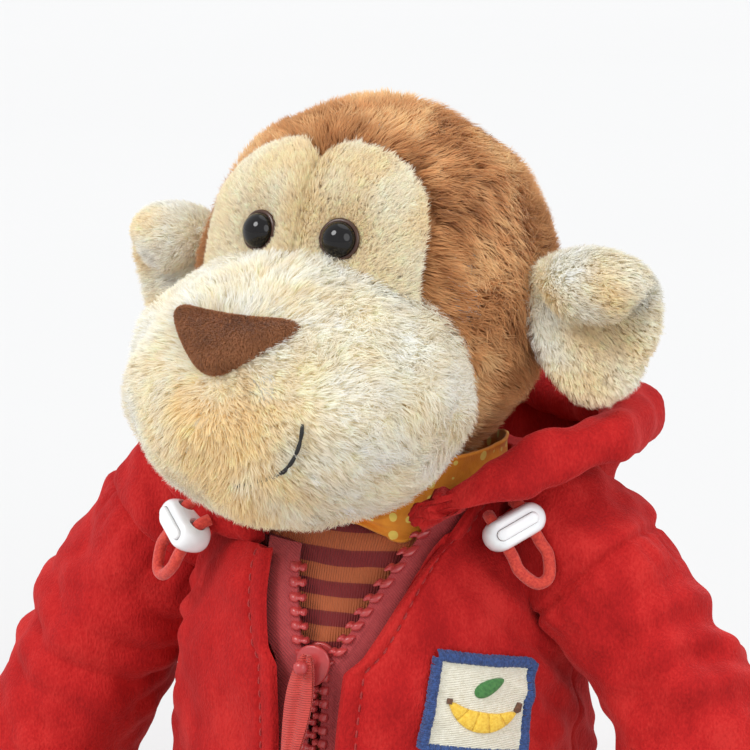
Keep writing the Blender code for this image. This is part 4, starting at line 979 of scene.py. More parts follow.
def tube(name, line, radius, material, body, stands_for=(), around=10, taper=None):
    """A round tube along a line of points, with closed ends."""
    line = np.asarray(line, float)
    ahead = unit(np.gradient(line, axis=0))
    side = np.cross(ahead[0], (0.3, 0.5, 0.8))
    rings = []
    radii = np.broadcast_to(radius, len(line)) * (1 if taper is None else taper)
    for at, way, r in zip(line, ahead, radii):
        side = unit(side - way * np.dot(side, way))
        up = np.cross(way, side)
        turn = np.linspace(0, math.tau, around, endpoint=False)
        rings.append(at + r * (np.outer(np.cos(turn), side) + np.outer(np.sin(turn), up)))
    points = np.concatenate([*rings, line[:1], line[-1:]])
    last = (len(line) - 1) * around
    first_tip, last_tip = len(points) - 2, len(points) - 1
    j = np.arange(around)
    n = (j + 1) % around
    caps = [
        np.stack([n, j, np.full(around, first_tip)], axis=1),
        np.stack([last + j, last + n, np.full(around, last_tip)], axis=1),
    ]
    faces = grid_faces(len(line), around, True)
    return object_of(name, points, [faces, np.vstack(caps)], material, body, stands_for)


def make_smile():
    """A row of back stitches that sinks into the pile towards its middle."""
    x, z = smile_line(140)
    ends = smooth(np.abs(x), 11, 18)
    rise = blend(-1.2, 0.9, ends * (x > 0)) - 1.4 * (x < 0)
    path = muzzle_front(x, z)
    out = unit((path - MUZZLE_MIDDLE) / MUZZLE_HALF**2)
    length = np.concatenate([[0], np.cumsum(np.linalg.norm(np.diff(path, axis=0), axis=1))])
    stitch = np.abs(np.sin(length * math.pi / 3.4)) ** 0.5
    path = path + out * (rise - 0.55 * (1 - stitch))[:, None]
    tube(
        "smile", to_doll(path), 0.48, "black_thread", "head", ("mouth_stitch",),
        taper=0.55 + 0.45 * stitch
    )


def turned(name, profile, foot, axis, material, body, stands_for=(), steps=48):
    """A solid of revolution about an axis through foot. profile is (radius, height) points."""
    profile = np.array(profile)
    turn = np.array(Vector(axis).to_track_quat("Z", "Y").to_matrix())
    angle = np.linspace(0, math.tau, steps, endpoint=False)
    ring = np.stack([np.cos(angle), np.sin(angle), 0 * angle], axis=1)
    grid = profile[:, 0, None, None] * ring[None] + profile[:, 1, None, None] * np.array((0, 0, 1))
    points = grid.reshape(-1, 3) @ turn.T + np.asarray(foot)
    faces = grid_faces(len(profile), steps, True)
    made = object_of(name, points, faces, material, body, stands_for)
    close_and_merge(made)
    return made


def make_eyes():
    for name, side in SIDES:
        seat, axis = eye_place(side)
        foot = to_doll(seat)
        way = unit(axis + np.array((0, -0.6, 0))) @ HEAD[1].T
        arc = np.linspace(0, math.pi / 2, 22)
        dome = np.stack([EYE_RADIUS * np.cos(arc), 0.3 + EYE_DOME * np.sin(arc)], axis=1)
        profile = [
            (0, -3.0), (1.3, -3.0), (1.3, -0.6), (EYE_RADIUS - 0.4, -0.6), (EYE_RADIUS, -0.2)
        ]
        turned(
            f"eye_{name}_dome", [*profile, *dome], foot, way, "eye_plastic", "head",
            (f"eye_{name}",)
        )
        lid = np.linspace(0, math.tau, 16)
        ring = np.stack(
            [EYE_RADIUS + 0.15 + 0.62 * np.cos(lid), 0.1 + 0.55 * np.sin(lid)], axis=1
        )
        turned(f"eye_{name}_rim", ring, foot, way, "eye_rim", "head")


def ear_fold(points, fold_at, radius):
    """Bends what is above fold_at forwards round a lying cylinder."""
    x, y, z = points.T
    over = np.clip(z - fold_at, 0, None)
    angle = np.minimum(over / radius, math.radians(175))
    rest = over - angle * radius
    reach = radius + y
    bent_y = -radius + reach * np.cos(angle) - rest * np.sin(angle)
    bent_z = fold_at + reach * np.sin(angle) + rest * np.cos(angle)
    above = z > fold_at
    return np.stack([x, np.where(above, bent_y, y), np.where(above, bent_z, z)], axis=1)


def make_ears():
    points, faces = ball_points(5)
    for index, (name, side) in enumerate(SIDES):
        x, y, z = points.T
        wide, tall, thick = 12.9, 19.8, 3.0
        rim = np.clip(np.hypot(x, z), 0, 1)
        pillow = np.sign(y) * np.abs(y) ** 0.7 * thick
        local = np.stack([x * wide, pillow, z * tall + 2.0], axis=1)
        cup = -4.0 * rim**2.5 + 3.0
        local[:, 1] += cup
        local[:, 0] *= 1 + 0.10 * smooth(z, -1, 0.4)
        sag = np.interp(local[:, 0] * side, (-16, 16), (3.0, -1.0))
        local[:, 2] -= sag * 0.4
        local = ear_fold(local, 6.6, 2.9)
        local += 0.35 * unit(points) * Waves(81 + index, 12)(local)[:, None]
        a = math.radians(EAR_CUP * side)
        turn = np.array(((math.cos(a), -math.sin(a), 0), (math.sin(a), math.cos(a), 0), (0, 0, 1)))
        place = np.array((side * EAR_REACH, 0, -EAR_DROP))
        surface = to_doll(local @ turn.T + place)
        nodes = (f"ear_{name}_front", f"ear_{name}_back")
        made = object_of(f"ear_{name}_skin", surface, faces, "cream_skin", "head", nodes)

        def comb(at):
            local = to_head(at) - place
            return np.stack(
                [local[:, 0] * 0.9 + side * 14, -2 + 0 * local[:, 0], local[:, 2] * 0.6 - 6], axis=1
            ) @ HEAD[1].T / 15

        tone = Waves(91, 14)

        def colour(at):
            local = to_head(at)
            inner = 0.45 * bump(np.hypot(local[:, 0] - side * EAR_REACH, local[:, 2] + 12), 12)
            share = np.clip(0.25 + 0.2 * tone(local) + inner, 0, 1)[:, None]
            return blend(CREAM_PALE, CREAM_GOLD, share)

        pile(
            f"ear_{name}_pile",
            (surface, faces),
            "head",
            FUR["ear"],
            3.3,
            comb,
            colour,
            35 + index,
            lift=0.8,
            **CREAM_PILE,
        )


# ---------------------------------------------------------------- body and limbs


def make_plush_part(node, body, kind, count, length, seed, comb, where=None, voxel=1.6):
    """A limb or other plush piece from its CAD solid, with pile."""
    surface = from_cad(node, voxel, 6, inset=1.0)
    made = object_of(f"{node}_skin", surface[0], surface[1], f"{kind}_skin", body, (node,))
    tone, fine = Waves(seed + 200, 24), Waves(seed + 300, 6)

    def colour(at):
        share = np.clip(0.5 + 0.25 * tone(at) + 0.12 * fine(at), 0, 1)[:, None]
        if kind == "brown":
            return blend(BROWN_DARK, BROWN_GOLD, share)
        return blend(CREAM_PALE, CREAM_GOLD, share * 0.7)

    steps = PALE_STEPS if kind == "cream" else DARK_STEPS
    pile(
        f"{node}_pile",
        surface,
        body,
        count,
        length,
        comb,
        colour,
        seed,
        where=where,
        slot=f"{kind}_plush",
        steps=steps,
    )


def towards(*way):
    """A comb that lays all strands the same way."""
    return lambda at: np.tile(way, (len(at), 1))


def below(height):
    """Keeps the pile under a height."""
    return lambda at: np.where(at[:, 2] < height, 1.0, 0.0)


def make_limbs():
    down, forward = towards(0.0, -0.5, -1.0), towards(0.0, -1.0, -0.35)

    def seat(at):
        return below(66)(at) * (at[:, 2] > 0.6)

    def part(node, body, kind, fur, length, seed, comb, **more):
        make_plush_part(node, body, kind, FUR[fur], length, seed, comb, **more)

    part("body_cover", "torso", "brown", "body", 4.2, 101, down, where=seat, voxel=2.0)
    for index, (name, _) in enumerate(SIDES):
        arm, leg = f"arm_{name}", f"leg_{name}"
        part(f"arm_cover_{name}", arm, "brown", "wrist", 3.6, 110 + index, down, where=below(58))
        part(f"hand_{name}", arm, "cream", "hand", 3.4, 120 + index, down, voxel=1.1)
        part(f"leg_cover_{name}", leg, "brown", "leg", 4.4, 130 + index, forward)
        part(f"foot_{name}", leg, "cream", "foot", 3.6, 140 + index, down)
    part("tail", "tail", "brown", "tail", 3.4, 150, towards(0.4, 1.0, -0.2), voxel=1.1)


# ---------------------------------------------------------------- trunk, shirt and neckerchief


def torso_share(z):
    taps = [
        np.interp(
            (np.asarray(z) + d) / TORSO_HEIGHT, TORSO_HEIGHTS, TORSO_SHARES
        ) for d in (-3, -1, 1, 3)
    ]
    return sum(taps) / len(taps)


def jacket_share(z):
    return np.maximum(torso_share(z), COLLAR_SHARE)


def round_trunk(angle, z, share, offset):
    a = np.radians(angle)
    depth = np.where(np.cos(a) > 0, TORSO_HALF[1], TORSO_HALF[2])
    x = (TORSO_HALF[0] * share + offset) * np.sin(a)
    y = -(depth * share + offset) * np.cos(a)
    return np.stack(np.broadcast_arrays(x, y, z), axis=-1)


def jacket_point(angle, z, offset=0.0):
    return round_trunk(angle, z, jacket_share(z), JACKET_EASE + offset)


def make_shirt():
    angle = np.linspace(0, 360, 240, endpoint=False)[None, :]
    z = np.linspace(52, 131.5, 90)[:, None]
    base = round_trunk(angle, z, torso_share(z), 0.0)
    drape = 0.45 * Waves(161, 24)(base) + 0.2 * Waves(162, 9)(base)
    neckband = 0.5 * bump(z - 130.5, 1.3)
    grid = round_trunk(angle, z, torso_share(z), 1.6 + np.clip(drape, -0.4, 0.9) + neckband)
    made = shell("shirt", grid, 0.9, "striped_jersey", "torso", ("striped_shirt",), wrap=True)
    declare_sheet(grid, wrap=True)


def make_neckerchief():
    columns, rows = 220, 26
    angle = np.linspace(0, 360, columns, endpoint=False)[None, :]
    away = np.abs(np.where(angle > 180, 360 - angle, angle))
    side = smooth(away, 35, 75)
    low = blend(131.0 - 4.0 * bump(away - 30, 12), NECKLINE_BACK - 5, side)
    high = blend(133.5, 146.0, smooth(away, 14, 52)) - 4.0 * smooth(away, 110, 150)
    share = np.linspace(0, 1, rows)[:, None]
    z = blend(low, high, share)
    ease = blend(2.5, JACKET_EASE - 3.5, side) + blend(0, -1.5 + 2.2 * share, side)
    base = round_trunk(angle, z, jacket_share(z), 0.0)
    pleats = 0.55 * np.sin(share * 9 + 2.5 * Waves(171, 40)(base)) + 0.3 * Waves(172, 10)(base)
    grid = round_trunk(angle, z, jacket_share(z), ease + 0.4 + np.clip(pleats, -0.6, 0.9))
    made = shell(
        "neckerchief_cloth", grid, 0.8, "dotted_cotton", "torso", ("neckerchief",), wrap=True
    )
    declare_sheet(grid, wrap=True)


# ---------------------------------------------------------------- jacket


def hem(angle):
    return blend(HEM_FRONT, HEM_BACK, smooth(np.abs(angle), 62, 118))


def neckline(angle, side):
    return blend(NECKLINE_FRONT, NECKLINE_BACK, smooth(np.abs(angle), *NECKLINE_CLIMB[side]))


def zip_front(z):
    lift = JACKET_EASE - TAPE_SINK - TAPE / 2
    turn = ZIP_SLIDER + SLIDER_HALF_LENGTH

    def chest(height):
        return TORSO_HALF[1] * jacket_share(height) + lift

    straight = blend(chest(ZIP_BOTTOM), chest(turn), (z - ZIP_BOTTOM) / (turn - ZIP_BOTTOM))
    return np.where(z >= turn, chest(z), straight)


def zip_opening(z, side):
    share = np.maximum(0.0, (z - ZIP_SLIDER) / (ZIP_TOP[side] - ZIP_SLIDER))
    return ZIP_SPREAD[side] * share + ZIP_PARTING * smooth(z, ZIP_SLIDER - 1, ZIP_SLIDER + 4)


def zip_point(z, from_middle, side, outwards=0.0):
    x = zip_opening(z, side) + from_middle
    width = TORSO_HALF[0] * jacket_share(z) + JACKET_EASE
    bend = np.sqrt(1 - (x / width) ** 2)
    return np.stack(np.broadcast_arrays(side * x, -(zip_front(z) + outwards) * bend, z), axis=-1)


def edge_angle(z, side):
    x = zip_opening(z, side) + ZIP_SHOWS + 1.6 * bump(z - ZIP_SLIDER - 6, 16)
    return np.degrees(np.arcsin(x / (TORSO_HALF[0] * jacket_share(z) + JACKET_EASE)))


def jacket_folds(angle, z):
    """How far the velour stands off its plain shape: drape folds, drag lines and soft dents."""
    base = jacket_point(angle, z)
    away = np.abs(np.where(angle > 180, 360 - angle, angle))
    low = 1 - smooth(z, 45, 95)
    hang = 1.1 * low * np.sin(np.radians(angle) * 7 + 1.3 * Waves(181, 60)(base))
    armpit = np.hypot((away - 88) * 0.8, z - 98)
    drag = 0.9 * np.sin((z * 0.55 + away * 0.42) + 0.8 * Waves(182, 40)(base)) * bump(armpit, 32)
    soft = 0.65 * Waves(183, 26)(base) + 0.28 * Waves(184, 11)(base)
    calm = smooth(away, 8, 26)
    return (hang + drag) * calm + soft * (0.35 + 0.65 * calm)


def make_fronts():
    columns, rows = 110, 150
    for name, side in SIDES:
        u = np.linspace(0, 1, columns)[None, :] ** 1.15
        v = np.linspace(0, 1, rows)[:, None]
        angle = 8.0 + u * 83.0 + 0 * v
        for _ in range(8):
            z = blend(hem(angle), neckline(angle, side), v)
            angle = blend(edge_angle(z, side), 91.0, u)
        base = jacket_point(side * angle, z)
        edge = np.linalg.norm(base - base[:, :1], axis=2)
        foot = (z - hem(angle))
        seam = np.abs(edge - edge[:, -1:])
        offset = VELOUR + jacket_folds(side * angle, z) * smooth(edge, 0, 9)
        offset = offset + 0.5 * bump(edge - 1.6, 1.6) - 0.7 * bump(edge - 4.6, 0.7)
        offset = offset + 0.5 * bump(foot - 3, 3) - 0.7 * bump(foot - 7.5, 0.7)
        offset = offset - 1.1 * bump(seam, 1.0)
        offset = offset - 1.2 * (1 - smooth(edge, 0, 1.0)) - 0.9 * (1 - smooth(foot, 0, 1.0))
        grid = jacket_point(side * angle, z, offset)
        if side > 0:
            grid = grid
        else:
            grid = grid[:, ::-1]
        made = shell(
            f"jacket_{name}", grid, 2.2, "velour", "torso", (f"jacket_front_{name}",),
            round_edge=0.5
        )
        declare_sheet(grid)
        stitch_row(
            f"jacket_{name}_stitches", jacket_point(side * angle, z, offset)[4:, :], edge[4:, :],
            4.6
        )


def stitch_row(name, grid, distance, at):
    """Short thread stitches down a front edge, sunk in the velour."""
    path = []
    for row, far in zip(grid, distance):
        path.append([np.interp(at, far, row[:, k]) for k in range(3)])
    path = np.array(path)
    length = np.concatenate([[0], np.cumsum(np.linalg.norm(np.diff(path, axis=0), axis=1))])
    steps = np.arange(1.0, length[-1] - 2.5, 3.0)
    pieces, faces = [], []
    around = 6
    turn = np.linspace(0, math.tau, around, endpoint=False)
    for step in steps:
        t = np.linspace(step, step + 2.1, 5)
        line = np.stack([np.interp(t, length, path[:, k]) for k in range(3)], axis=1)
        out = unit(line * (1, 1, 0))
        sink = np.array((-0.3, 0.1, 0.18, 0.1, -0.3))[:, None]
        line = line + out * sink
        way = unit(line[-1] - line[0])
        a = unit(np.cross(way, out[2]))
        b = np.cross(way, a)
        ring = 0.2 * (np.outer(np.cos(turn), a) + np.outer(np.sin(turn), b))
        start = sum(len(p) for p in pieces)
        pieces.append((line[:, None] + ring[None]).reshape(-1, 3))
        faces.append(grid_faces(5, around, True, start))
    object_of(name, np.concatenate(pieces), np.vstack(faces), "red_thread", "torso")


def make_back():
    columns, rows = 200, 130
    angle = np.linspace(89.0, 271.0, columns)[None, :]
    folded = np.where(angle > 180, 360 - angle, angle)
    v = np.linspace(0, 1, rows)[:, None]
    line = np.where(angle > 180, neckline(folded, -1), neckline(folded, 1))
    z = blend(hem(folded), line, v)
    foot = z - hem(folded)
    seam = np.minimum(angle - 89, 271 - angle) * 0.8
    offset = VELOUR + jacket_folds(angle, z) + 0.5 * bump(foot - 3, 3) - 0.7 * bump(foot - 7.5, 0.7)
    offset = offset - 1.1 * bump(seam, 1.0) - 0.9 * (1 - smooth(foot, 0, 1.0))
    grid = jacket_point(angle, z, offset)
    made = shell("jacket_rear", grid, 2.2, "velour", "torso", ("jacket_back",), round_edge=0.5)
    declare_sheet(grid)


def arm_frame(side):
    a = math.radians(ARM_DROP[side] * side)
    drop = np.array(((math.cos(a), 0, math.sin(a)), (0, 1, 0), (-math.sin(a), 0, math.cos(a))))
    flip = np.array((side, 1, 1))
    start = SHOULDER * flip

    def place(points):
        return start + (points * flip - start) @ drop.T

    return place


ARMHOLE_SEAM = 23.0  # from the sleeve's hidden end


def make_sleeves():
    columns, rows = 120, 190
    for index, (name, side) in enumerate(SIDES):
        t = np.linspace(-0.16, 0.94, rows)
        core = (
            SHOULDER * ((1 - t) ** 2)[:, None]
            + ELBOW * (2 * t * (1 - t))[:, None]
            + WRIST * (t**2)[:, None]
        )
        core[t < 0] = SHOULDER + (ELBOW - SHOULDER) * 2 * t[t < 0, None]
        core = arm_frame(side)(core)
        ahead = unit(np.gradient(core, axis=0))
        across = unit(np.cross(ahead, (0, 1, 0))) * side
        up = np.cross(ahead, across)
        turn = np.linspace(0, math.tau, columns, endpoint=False)
        length = np.concatenate([[0], np.cumsum(np.linalg.norm(np.diff(core, axis=0), axis=1))])
        total = length[-1]
        round_it = turn[None, :, None]
        ring = np.cos(round_it) * across[:, None] + np.sin(round_it) * up[:, None]
        straight = core[:, None] + ring * SLEEVE_RADIUS
        s = length[:, None]
        inner = 0.5 + 0.5 * np.cos(turn)[None, :]
        bend = bump(s - total * 0.52, total * 0.22)
        slow = Waves(191 + index, 60)(straight)
        rings = np.sin(s * math.tau / 12.5 + 1.6 * np.sin(turn)[None, :] + 1.5 * slow)
        folds = 1.1 * rings * bend * (0.25 + 0.75 * inner)
        folds = folds + 0.9 * Waves(193 + index, 24)(straight)
        folds = folds + 0.35 * Waves(195 + index, 10)(straight)
        cuff = total - s
        folds = folds * smooth(cuff, 0, 12)
        folds = folds + 0.6 * bump(cuff - 3.5, 3) - 0.8 * bump(cuff - 8.5, 0.8)
        folds = folds - 0.9 * (1 - smooth(cuff, 0, 1.2))
        seam = ARMHOLE_SEAM
        pucker = 0.35 * np.sin(turn * 22)[None, :] * bump(s - seam - 4, 5)
        folds = folds - 1.3 * bump(s - seam, 1.1) + pucker
        size = SLEEVE_RADIUS + 0.4 - 2.2 * (1 - smooth(s, 0, 14)) + 1.0 * bump(s - seam + 3, 7)
        grid = core[:, None] + ring * (size + folds)[..., None]
        if side < 0:
            grid = grid[:, ::-1]
        made = shell(
            f"sleeve_{name}_cloth", grid, 2.2, "velour", None, (f"sleeve_{name}",), wrap=True,
            round_edge=0.5
        )
        way = (ELBOW - SHOULDER) * (side, 1, 1)
        way = way / np.linalg.norm(way)
        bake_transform(made)
        declare_sheet(grid, wrap=True)


HOOD_START = 48.0
HOOD_END = (
    (0, 0.4), (1.1, 0.5), (2.2, 0.6), (3.3, 0.8), (4.4, 1.0),
    (5.5, 1.3), (6.6, 1.6), (7.7, 1.9), (8.8, 2.2), (9.9, 2.5),
)
HOOD_SIDE = (
    (0, 1.0), (4.0, 2.6), (8.0, 4.2), (12.0, 5.3), (15.5, 6.0),
    (19.0, 6.8), (22.5, 8.2), (25.0, 10.2), (26.5, 12.6), (27.0, 15.0),
)
HOOD_BACK = (
    (0, 1.0), (4.5, 1.3), (8.5, -2.0), (10.0, -10.5), (11.5, -19.0),
    (16.0, -24.5), (21.5, -23.0), (26.0, -13.5), (28.0, -1.5), (27.5, 9.5),
)
HOOD_FRONT = 34.0  # where the hem's roll ends over the zip
ROLL_POINTS = 34


def hood_roll(away):
    """The padded hem's radius: slim by the zip and full over the shoulders."""
    return float(2.9 + 3.1 * smooth(away, HOOD_FRONT, 78) - 1.1 * smooth(away, 120, 180))


def hood_profile(angle):
    """The hood's outer face at an angle as a smooth line, ending in its rolled hem."""
    away, side = (angle, 1) if angle <= 180 else (360 - angle, -1)
    over_shoulder = smooth(away, HOOD_START - 6, 88)
    behind = smooth(away, 100, 145)
    front = np.array(HOOD_END) * blend(0.25, 1.0, smooth(away, HOOD_FRONT, HOOD_START))
    flat = blend(front, np.array(HOOD_SIDE), over_shoulder)
    points = blend(flat, np.array(HOOD_BACK, float), behind)
    line = through(points, 5)
    way = unit(line[-1] - line[-3])
    inward = np.array((-way[1], way[0]))
    radius = hood_roll(away)
    raised = 0.9 * bump(away - 62, 24)
    centre = line[-1] + inward * radius * 0.55 + np.array((0.25 * radius, raised))
    start = math.radians(-70)
    turn = np.linspace(start, math.radians(285), ROLL_POINTS)[:, None]
    roll = centre - inward * radius * np.cos(turn) + way * radius * np.sin(turn)
    line = np.vstack([line[:-9], roll])
    line[:, 1] += float(neckline(away, side))
    return line


def make_hood():
    around = 300
    angles = np.linspace(HOOD_FRONT, 360 - HOOD_FRONT, around)
    rows = []
    for angle in angles:
        line = hood_profile(angle)
        base = jacket_point(angle, NECKLINE_BACK, VELOUR * 0.4)
        out = unit(base * (1, 1, 0))
        place = (base * (1, 1, 0))[None] + out[None] * line[:, :1]
        place[:, 2] = line[:, 1]
        rows.append(place)
    grid = np.array(rows).transpose(1, 0, 2)
    along = np.linspace(0, 1, grid.shape[0])[:, None]
    free = smooth(along, 0.02, 0.35)
    out = grid_normals(grid)
    soft = 1.5 * Waves(201, 34)(grid) + 0.7 * Waves(202, 14)(grid) + 0.25 * Waves(203, 7)(grid)
    pleat = 0.9 * np.sin(angles[None, :] * 0.21 + 2.0 * Waves(204, 50)(grid)) * (1 - free)
    grid = grid - out * (soft * free * 0.8 + pleat * 0.5)[..., None]
    made = shell("hood_cloth", grid[:, ::-1], -1.8, "velour", "torso", ("hood", "hood_lining"))
    declare_sheet(grid)
    for name, end in (("left", 0), ("right", -1)):
        ring = grid[-ROLL_POINTS:, end]
        centre = ring.mean(axis=0)
        share = np.array((1.0, 0.86, 0.55, 0.0))[:, None, None]
        bulge = unit(ring - grid[-ROLL_POINTS:, 2 if end == 0 else -3]).mean(axis=0)
        rise = np.array((0.0, 0.9, 1.6, 1.9))[:, None, None]
        cap = centre + (ring - centre)[None] * share + unit(bulge) * rise
        faces = grid_faces(4, ROLL_POINTS, True)
        made = object_of(f"hood_end_{name}", cap.reshape(-1, 3), faces, "velour", "torso")
        close_and_merge(made)


# ---------------------------------------------------------------- zip


def make_zip():
    for name, side in SIDES:
        z = np.linspace(ZIP_BOTTOM - 3, ZIP_TOP[side], 120)[:, None]
        across = np.linspace(BEAD_NEAR + 0.6, BEAD_FAR + 0.4 + TAPE_WIDTH, 24)[None, :]
        rib = 0.25 * bump(across - 4.2, 0.5)
        grid = zip_point(z, across, side, TAPE / 2 + rib)
        if side < 0:
            grid = grid[:, ::-1]
        shell(
            f"tape_{name}", grid, TAPE, "zip_tape", "torso", (f"zip_tape_{name}",), round_edge=0.15
        )
        make_teeth(name, side)


def make_teeth(name, side):
    """Moulded teeth: a waisted block with a round head, clamped on the tape's edge."""
    phase = 0 if side > 0 else ZIP_PITCH / 2
    count = int((ZIP_TOP[side] - ZIP_BOTTOM - phase) / ZIP_PITCH)
    reach = np.array((-1.0, -0.92, -0.62, -0.2, 0.15, 0.5, 0.75, 0.9, 1.6, 2.5, 2.75, 2.85))
    half_long = np.array((0.35, 0.58, 0.76, 0.74, 0.56, 0.52, 0.72, 0.98, 1.06, 1.02, 0.88, 0.5))
    half_thick = np.array((0.5, 0.85, 1.15, 1.2, 1.1, 1.1, 1.3, 1.5, 1.6, 1.55, 1.3, 0.7))
    around = 12
    turn = np.linspace(0, math.tau, around, endpoint=False)
    round_long = np.sign(np.cos(turn)) * np.abs(np.cos(turn)) ** 0.7
    round_thick = np.sign(np.sin(turn)) * np.abs(np.sin(turn)) ** 0.7
    pieces, faces = [], []
    size = len(reach) * around
    for i in range(count):
        z = ZIP_BOTTOM + phase + i * ZIP_PITCH + TOOTH / 2
        rings = []
        for x, long, thick in zip(reach, half_long, half_thick):
            rings.append(zip_point(z + long * round_long, x + 0.6, side, thick * round_thick))
        block = np.array(rings)
        start = i * (size + 2)
        pieces += [block.reshape(-1, 3), block[0].mean(axis=0)[None], block[-1].mean(axis=0)[None]]
        quads = grid_faces(len(reach), around, True, start)
        j = np.arange(around)
        n = (j + 1) % around
        first = np.stack([start + n, start + j, np.full(around, start + size)], axis=1)
        last_row = start + size - around
        last = np.stack([last_row + j, last_row + n, np.full(around, start + size + 1)], axis=1)
        faces += [quads, np.vstack([first, last])]
    quads = np.vstack(faces[0::2])
    ends = np.vstack(faces[1::2])
    if side < 0:
        quads, ends = quads[:, ::-1], ends[:, ::-1]
    object_of(
        f"teeth_{name}", np.concatenate(pieces), [quads, ends], "zip_plastic", "torso",
        (f"zip_teeth_{name}",)
    )


def slider_frame():
    """The slider's middle, the way up the zip, and the way out of the chest."""
    middle = np.array((0, -float(zip_front(ZIP_SLIDER)), ZIP_SLIDER))
    low = np.array((0, -float(zip_front(ZIP_BOTTOM)), ZIP_BOTTOM))
    up = unit(middle - low)
    return middle, up, np.array((0, -up[2], up[1]))


def in_slider(points):
    """Points given as (across, outwards, up) in the slider's frame, in the doll's frame."""
    middle, up, out = slider_frame()
    points = np.asarray(points)
    across = np.array((1, 0, 0))
    return middle + points[..., :1] * across + points[..., 1:2] * out + points[..., 2:] * up


def plate(name, outline, low, high, material, body, stands_for=(), crown=0.0, soft=0.35):
    """A flat plate with soft edges between two depths, from an outline of (across, up) points."""
    outline = np.asarray(outline)
    centre = outline.mean(axis=0)
    steps = []
    for share in (0.0, 0.35, 0.7):
        steps.append((share, high + crown * (1 - share**2)))
    for a in np.radians((90, 60, 30, 0)):
        steps.append((1 - soft * (1 - math.cos(a)) * 0.35, high - soft * (1 - math.sin(a))))
    for a in np.radians((0, -30, -60, -90)):
        steps.append((1 - soft * (1 - math.cos(a)) * 0.35, low + soft * (1 + math.sin(a))))
    steps.append((0.0, low))
    rows = []
    for share, depth in steps:
        flat = centre + (outline - centre) * share
        rows.append(np.stack([flat[:, 0], np.full(len(flat), depth), flat[:, 1]], axis=1))
    grid = in_slider(np.array(rows))
    faces = grid_faces(len(steps), len(outline), True)
    made = object_of(name, grid.reshape(-1, 3), faces, material, body, stands_for)
    close_and_merge(made)
    return made


PIN_HEIGHT = SLIDER_HALF_LENGTH * 0.25
SLIDER_ROOM = 0.45  # between the chain and the slider's plates
SLIDER_FACE = CHAIN_THICK / 2 + SLIDER_ROOM + 1.1


def make_slider():
    turn = np.linspace(0, math.tau, 48, endpoint=False)
    egg = np.stack(
        [4.1 * (1 + 0.18 * np.sin(turn)) * np.cos(turn), SLIDER_HALF_LENGTH * np.sin(turn)], axis=1
    )
    inside = CHAIN_THICK / 2 + SLIDER_ROOM
    front = ("slider_front", egg, inside, SLIDER_FACE, "zip_plastic", "slider", ("zip_slider",))
    plate(*front, crown=0.5, soft=0.5)
    plate("slider_rear", egg * 0.93, -SLIDER_FACE, -inside, "zip_plastic", "slider")
    post = np.stack([0.6 * np.cos(turn), 3.4 + 0.8 * np.sin(turn)], axis=1)
    plate("slider_post", post, -inside - 0.3, inside + 0.3, "zip_plastic", "slider", soft=0.1)
    out = slider_frame()[2]
    foot = in_slider(np.array((0, SLIDER_FACE, PIN_HEIGHT)))
    arc = np.linspace(-0.9, math.pi / 2, 14)
    head = np.stack([1.7 * np.cos(arc), 6.6 + 1.5 * np.sin(arc)], axis=1)
    profile = [(0, -0.4), (1.6, -0.4), (1.25, 0.3), (1.05, 1.0), (1.05, 5.2), *head]
    turned("slider_knob", profile, foot, out, "zip_plastic", "slider")


def make_ribbon():
    """A folded ribbon looped round the slider's knob: two layers with a crease down the middle."""
    columns, rows = 22, 80
    t = np.linspace(0, 1, rows)[:, None]
    across = np.linspace(-1, 1, columns)[None, :]
    swell = np.sin(math.pi * (0.06 + 0.88 * t**0.8)) ** 0.7
    reach_up = 2.4
    along = reach_up - (26.0 + reach_up) * t
    x = across * 3.1 * swell
    lean = math.radians(-8.0)
    flat_x = x * math.cos(lean) - along * math.sin(lean)
    flat_z = x * math.sin(lean) + along * math.cos(lean) + PIN_HEIGHT
    for part, depth in (("front", 4.75), ("rear", 3.85)):
        puff = 0.5 * (1 - across**2) * (1 - bump(t, 0.12)) + 0.25 * np.sin(t * 9 + across)
        sign = 1 if part == "front" else 0.3
        deep = SLIDER_FACE + depth + puff * sign - 0.7 * bump(across, 0.3) * (part == "front")
        grid = in_slider(np.stack([flat_x, deep + 0 * x, flat_z], axis=-1))
        stands = ("pull_ribbon",) if part == "front" else ()
        shell(f"ribbon_{part}", grid[:, ::-1], 0.55, "ribbon", "pull", stands, round_edge=0.12)


# ---------------------------------------------------------------- badge


BADGE_ANGLE, BADGE_HEIGHT = 48.0, 93.0
BADGE_TILT = 12.0
MOTIF_SIZE = 1.12
BADGE_HALF_WIDTH, BADGE_HALF_HEIGHT, BADGE_BORDER = 11.2, 9.4, 2.2


def badge_point(x, z, offset):
    """A point over the left chest, x and z counted from the badge's middle."""
    reach = TORSO_HALF[0] * jacket_share(BADGE_HEIGHT) + JACKET_EASE + VELOUR
    tilt = math.radians(BADGE_TILT)
    angle = BADGE_ANGLE + np.degrees((x * math.cos(tilt) + z * math.sin(tilt)) / reach)
    height = BADGE_HEIGHT + z * math.cos(tilt) - x * math.sin(tilt)
    lift = np.maximum(jacket_folds(angle, height), 0) * 0.9 + 0.3
    return jacket_point(angle, height, VELOUR + lift + offset)


def make_badge():
    x = np.linspace(-BADGE_HALF_WIDTH - 0.8, BADGE_HALF_WIDTH + 0.8, 60)[None, :]
    z = np.linspace(-BADGE_HALF_HEIGHT - 0.8, BADGE_HALF_HEIGHT + 0.8, 50)[:, None]
    grid = badge_point(x, z, 1.1 + 0 * z)
    made = shell("badge_face", grid, 0.8, "badge_cotton", "torso", ("badge_cloth",))
    declare_sheet(grid)
    make_badge_border()
    make_badge_motif()


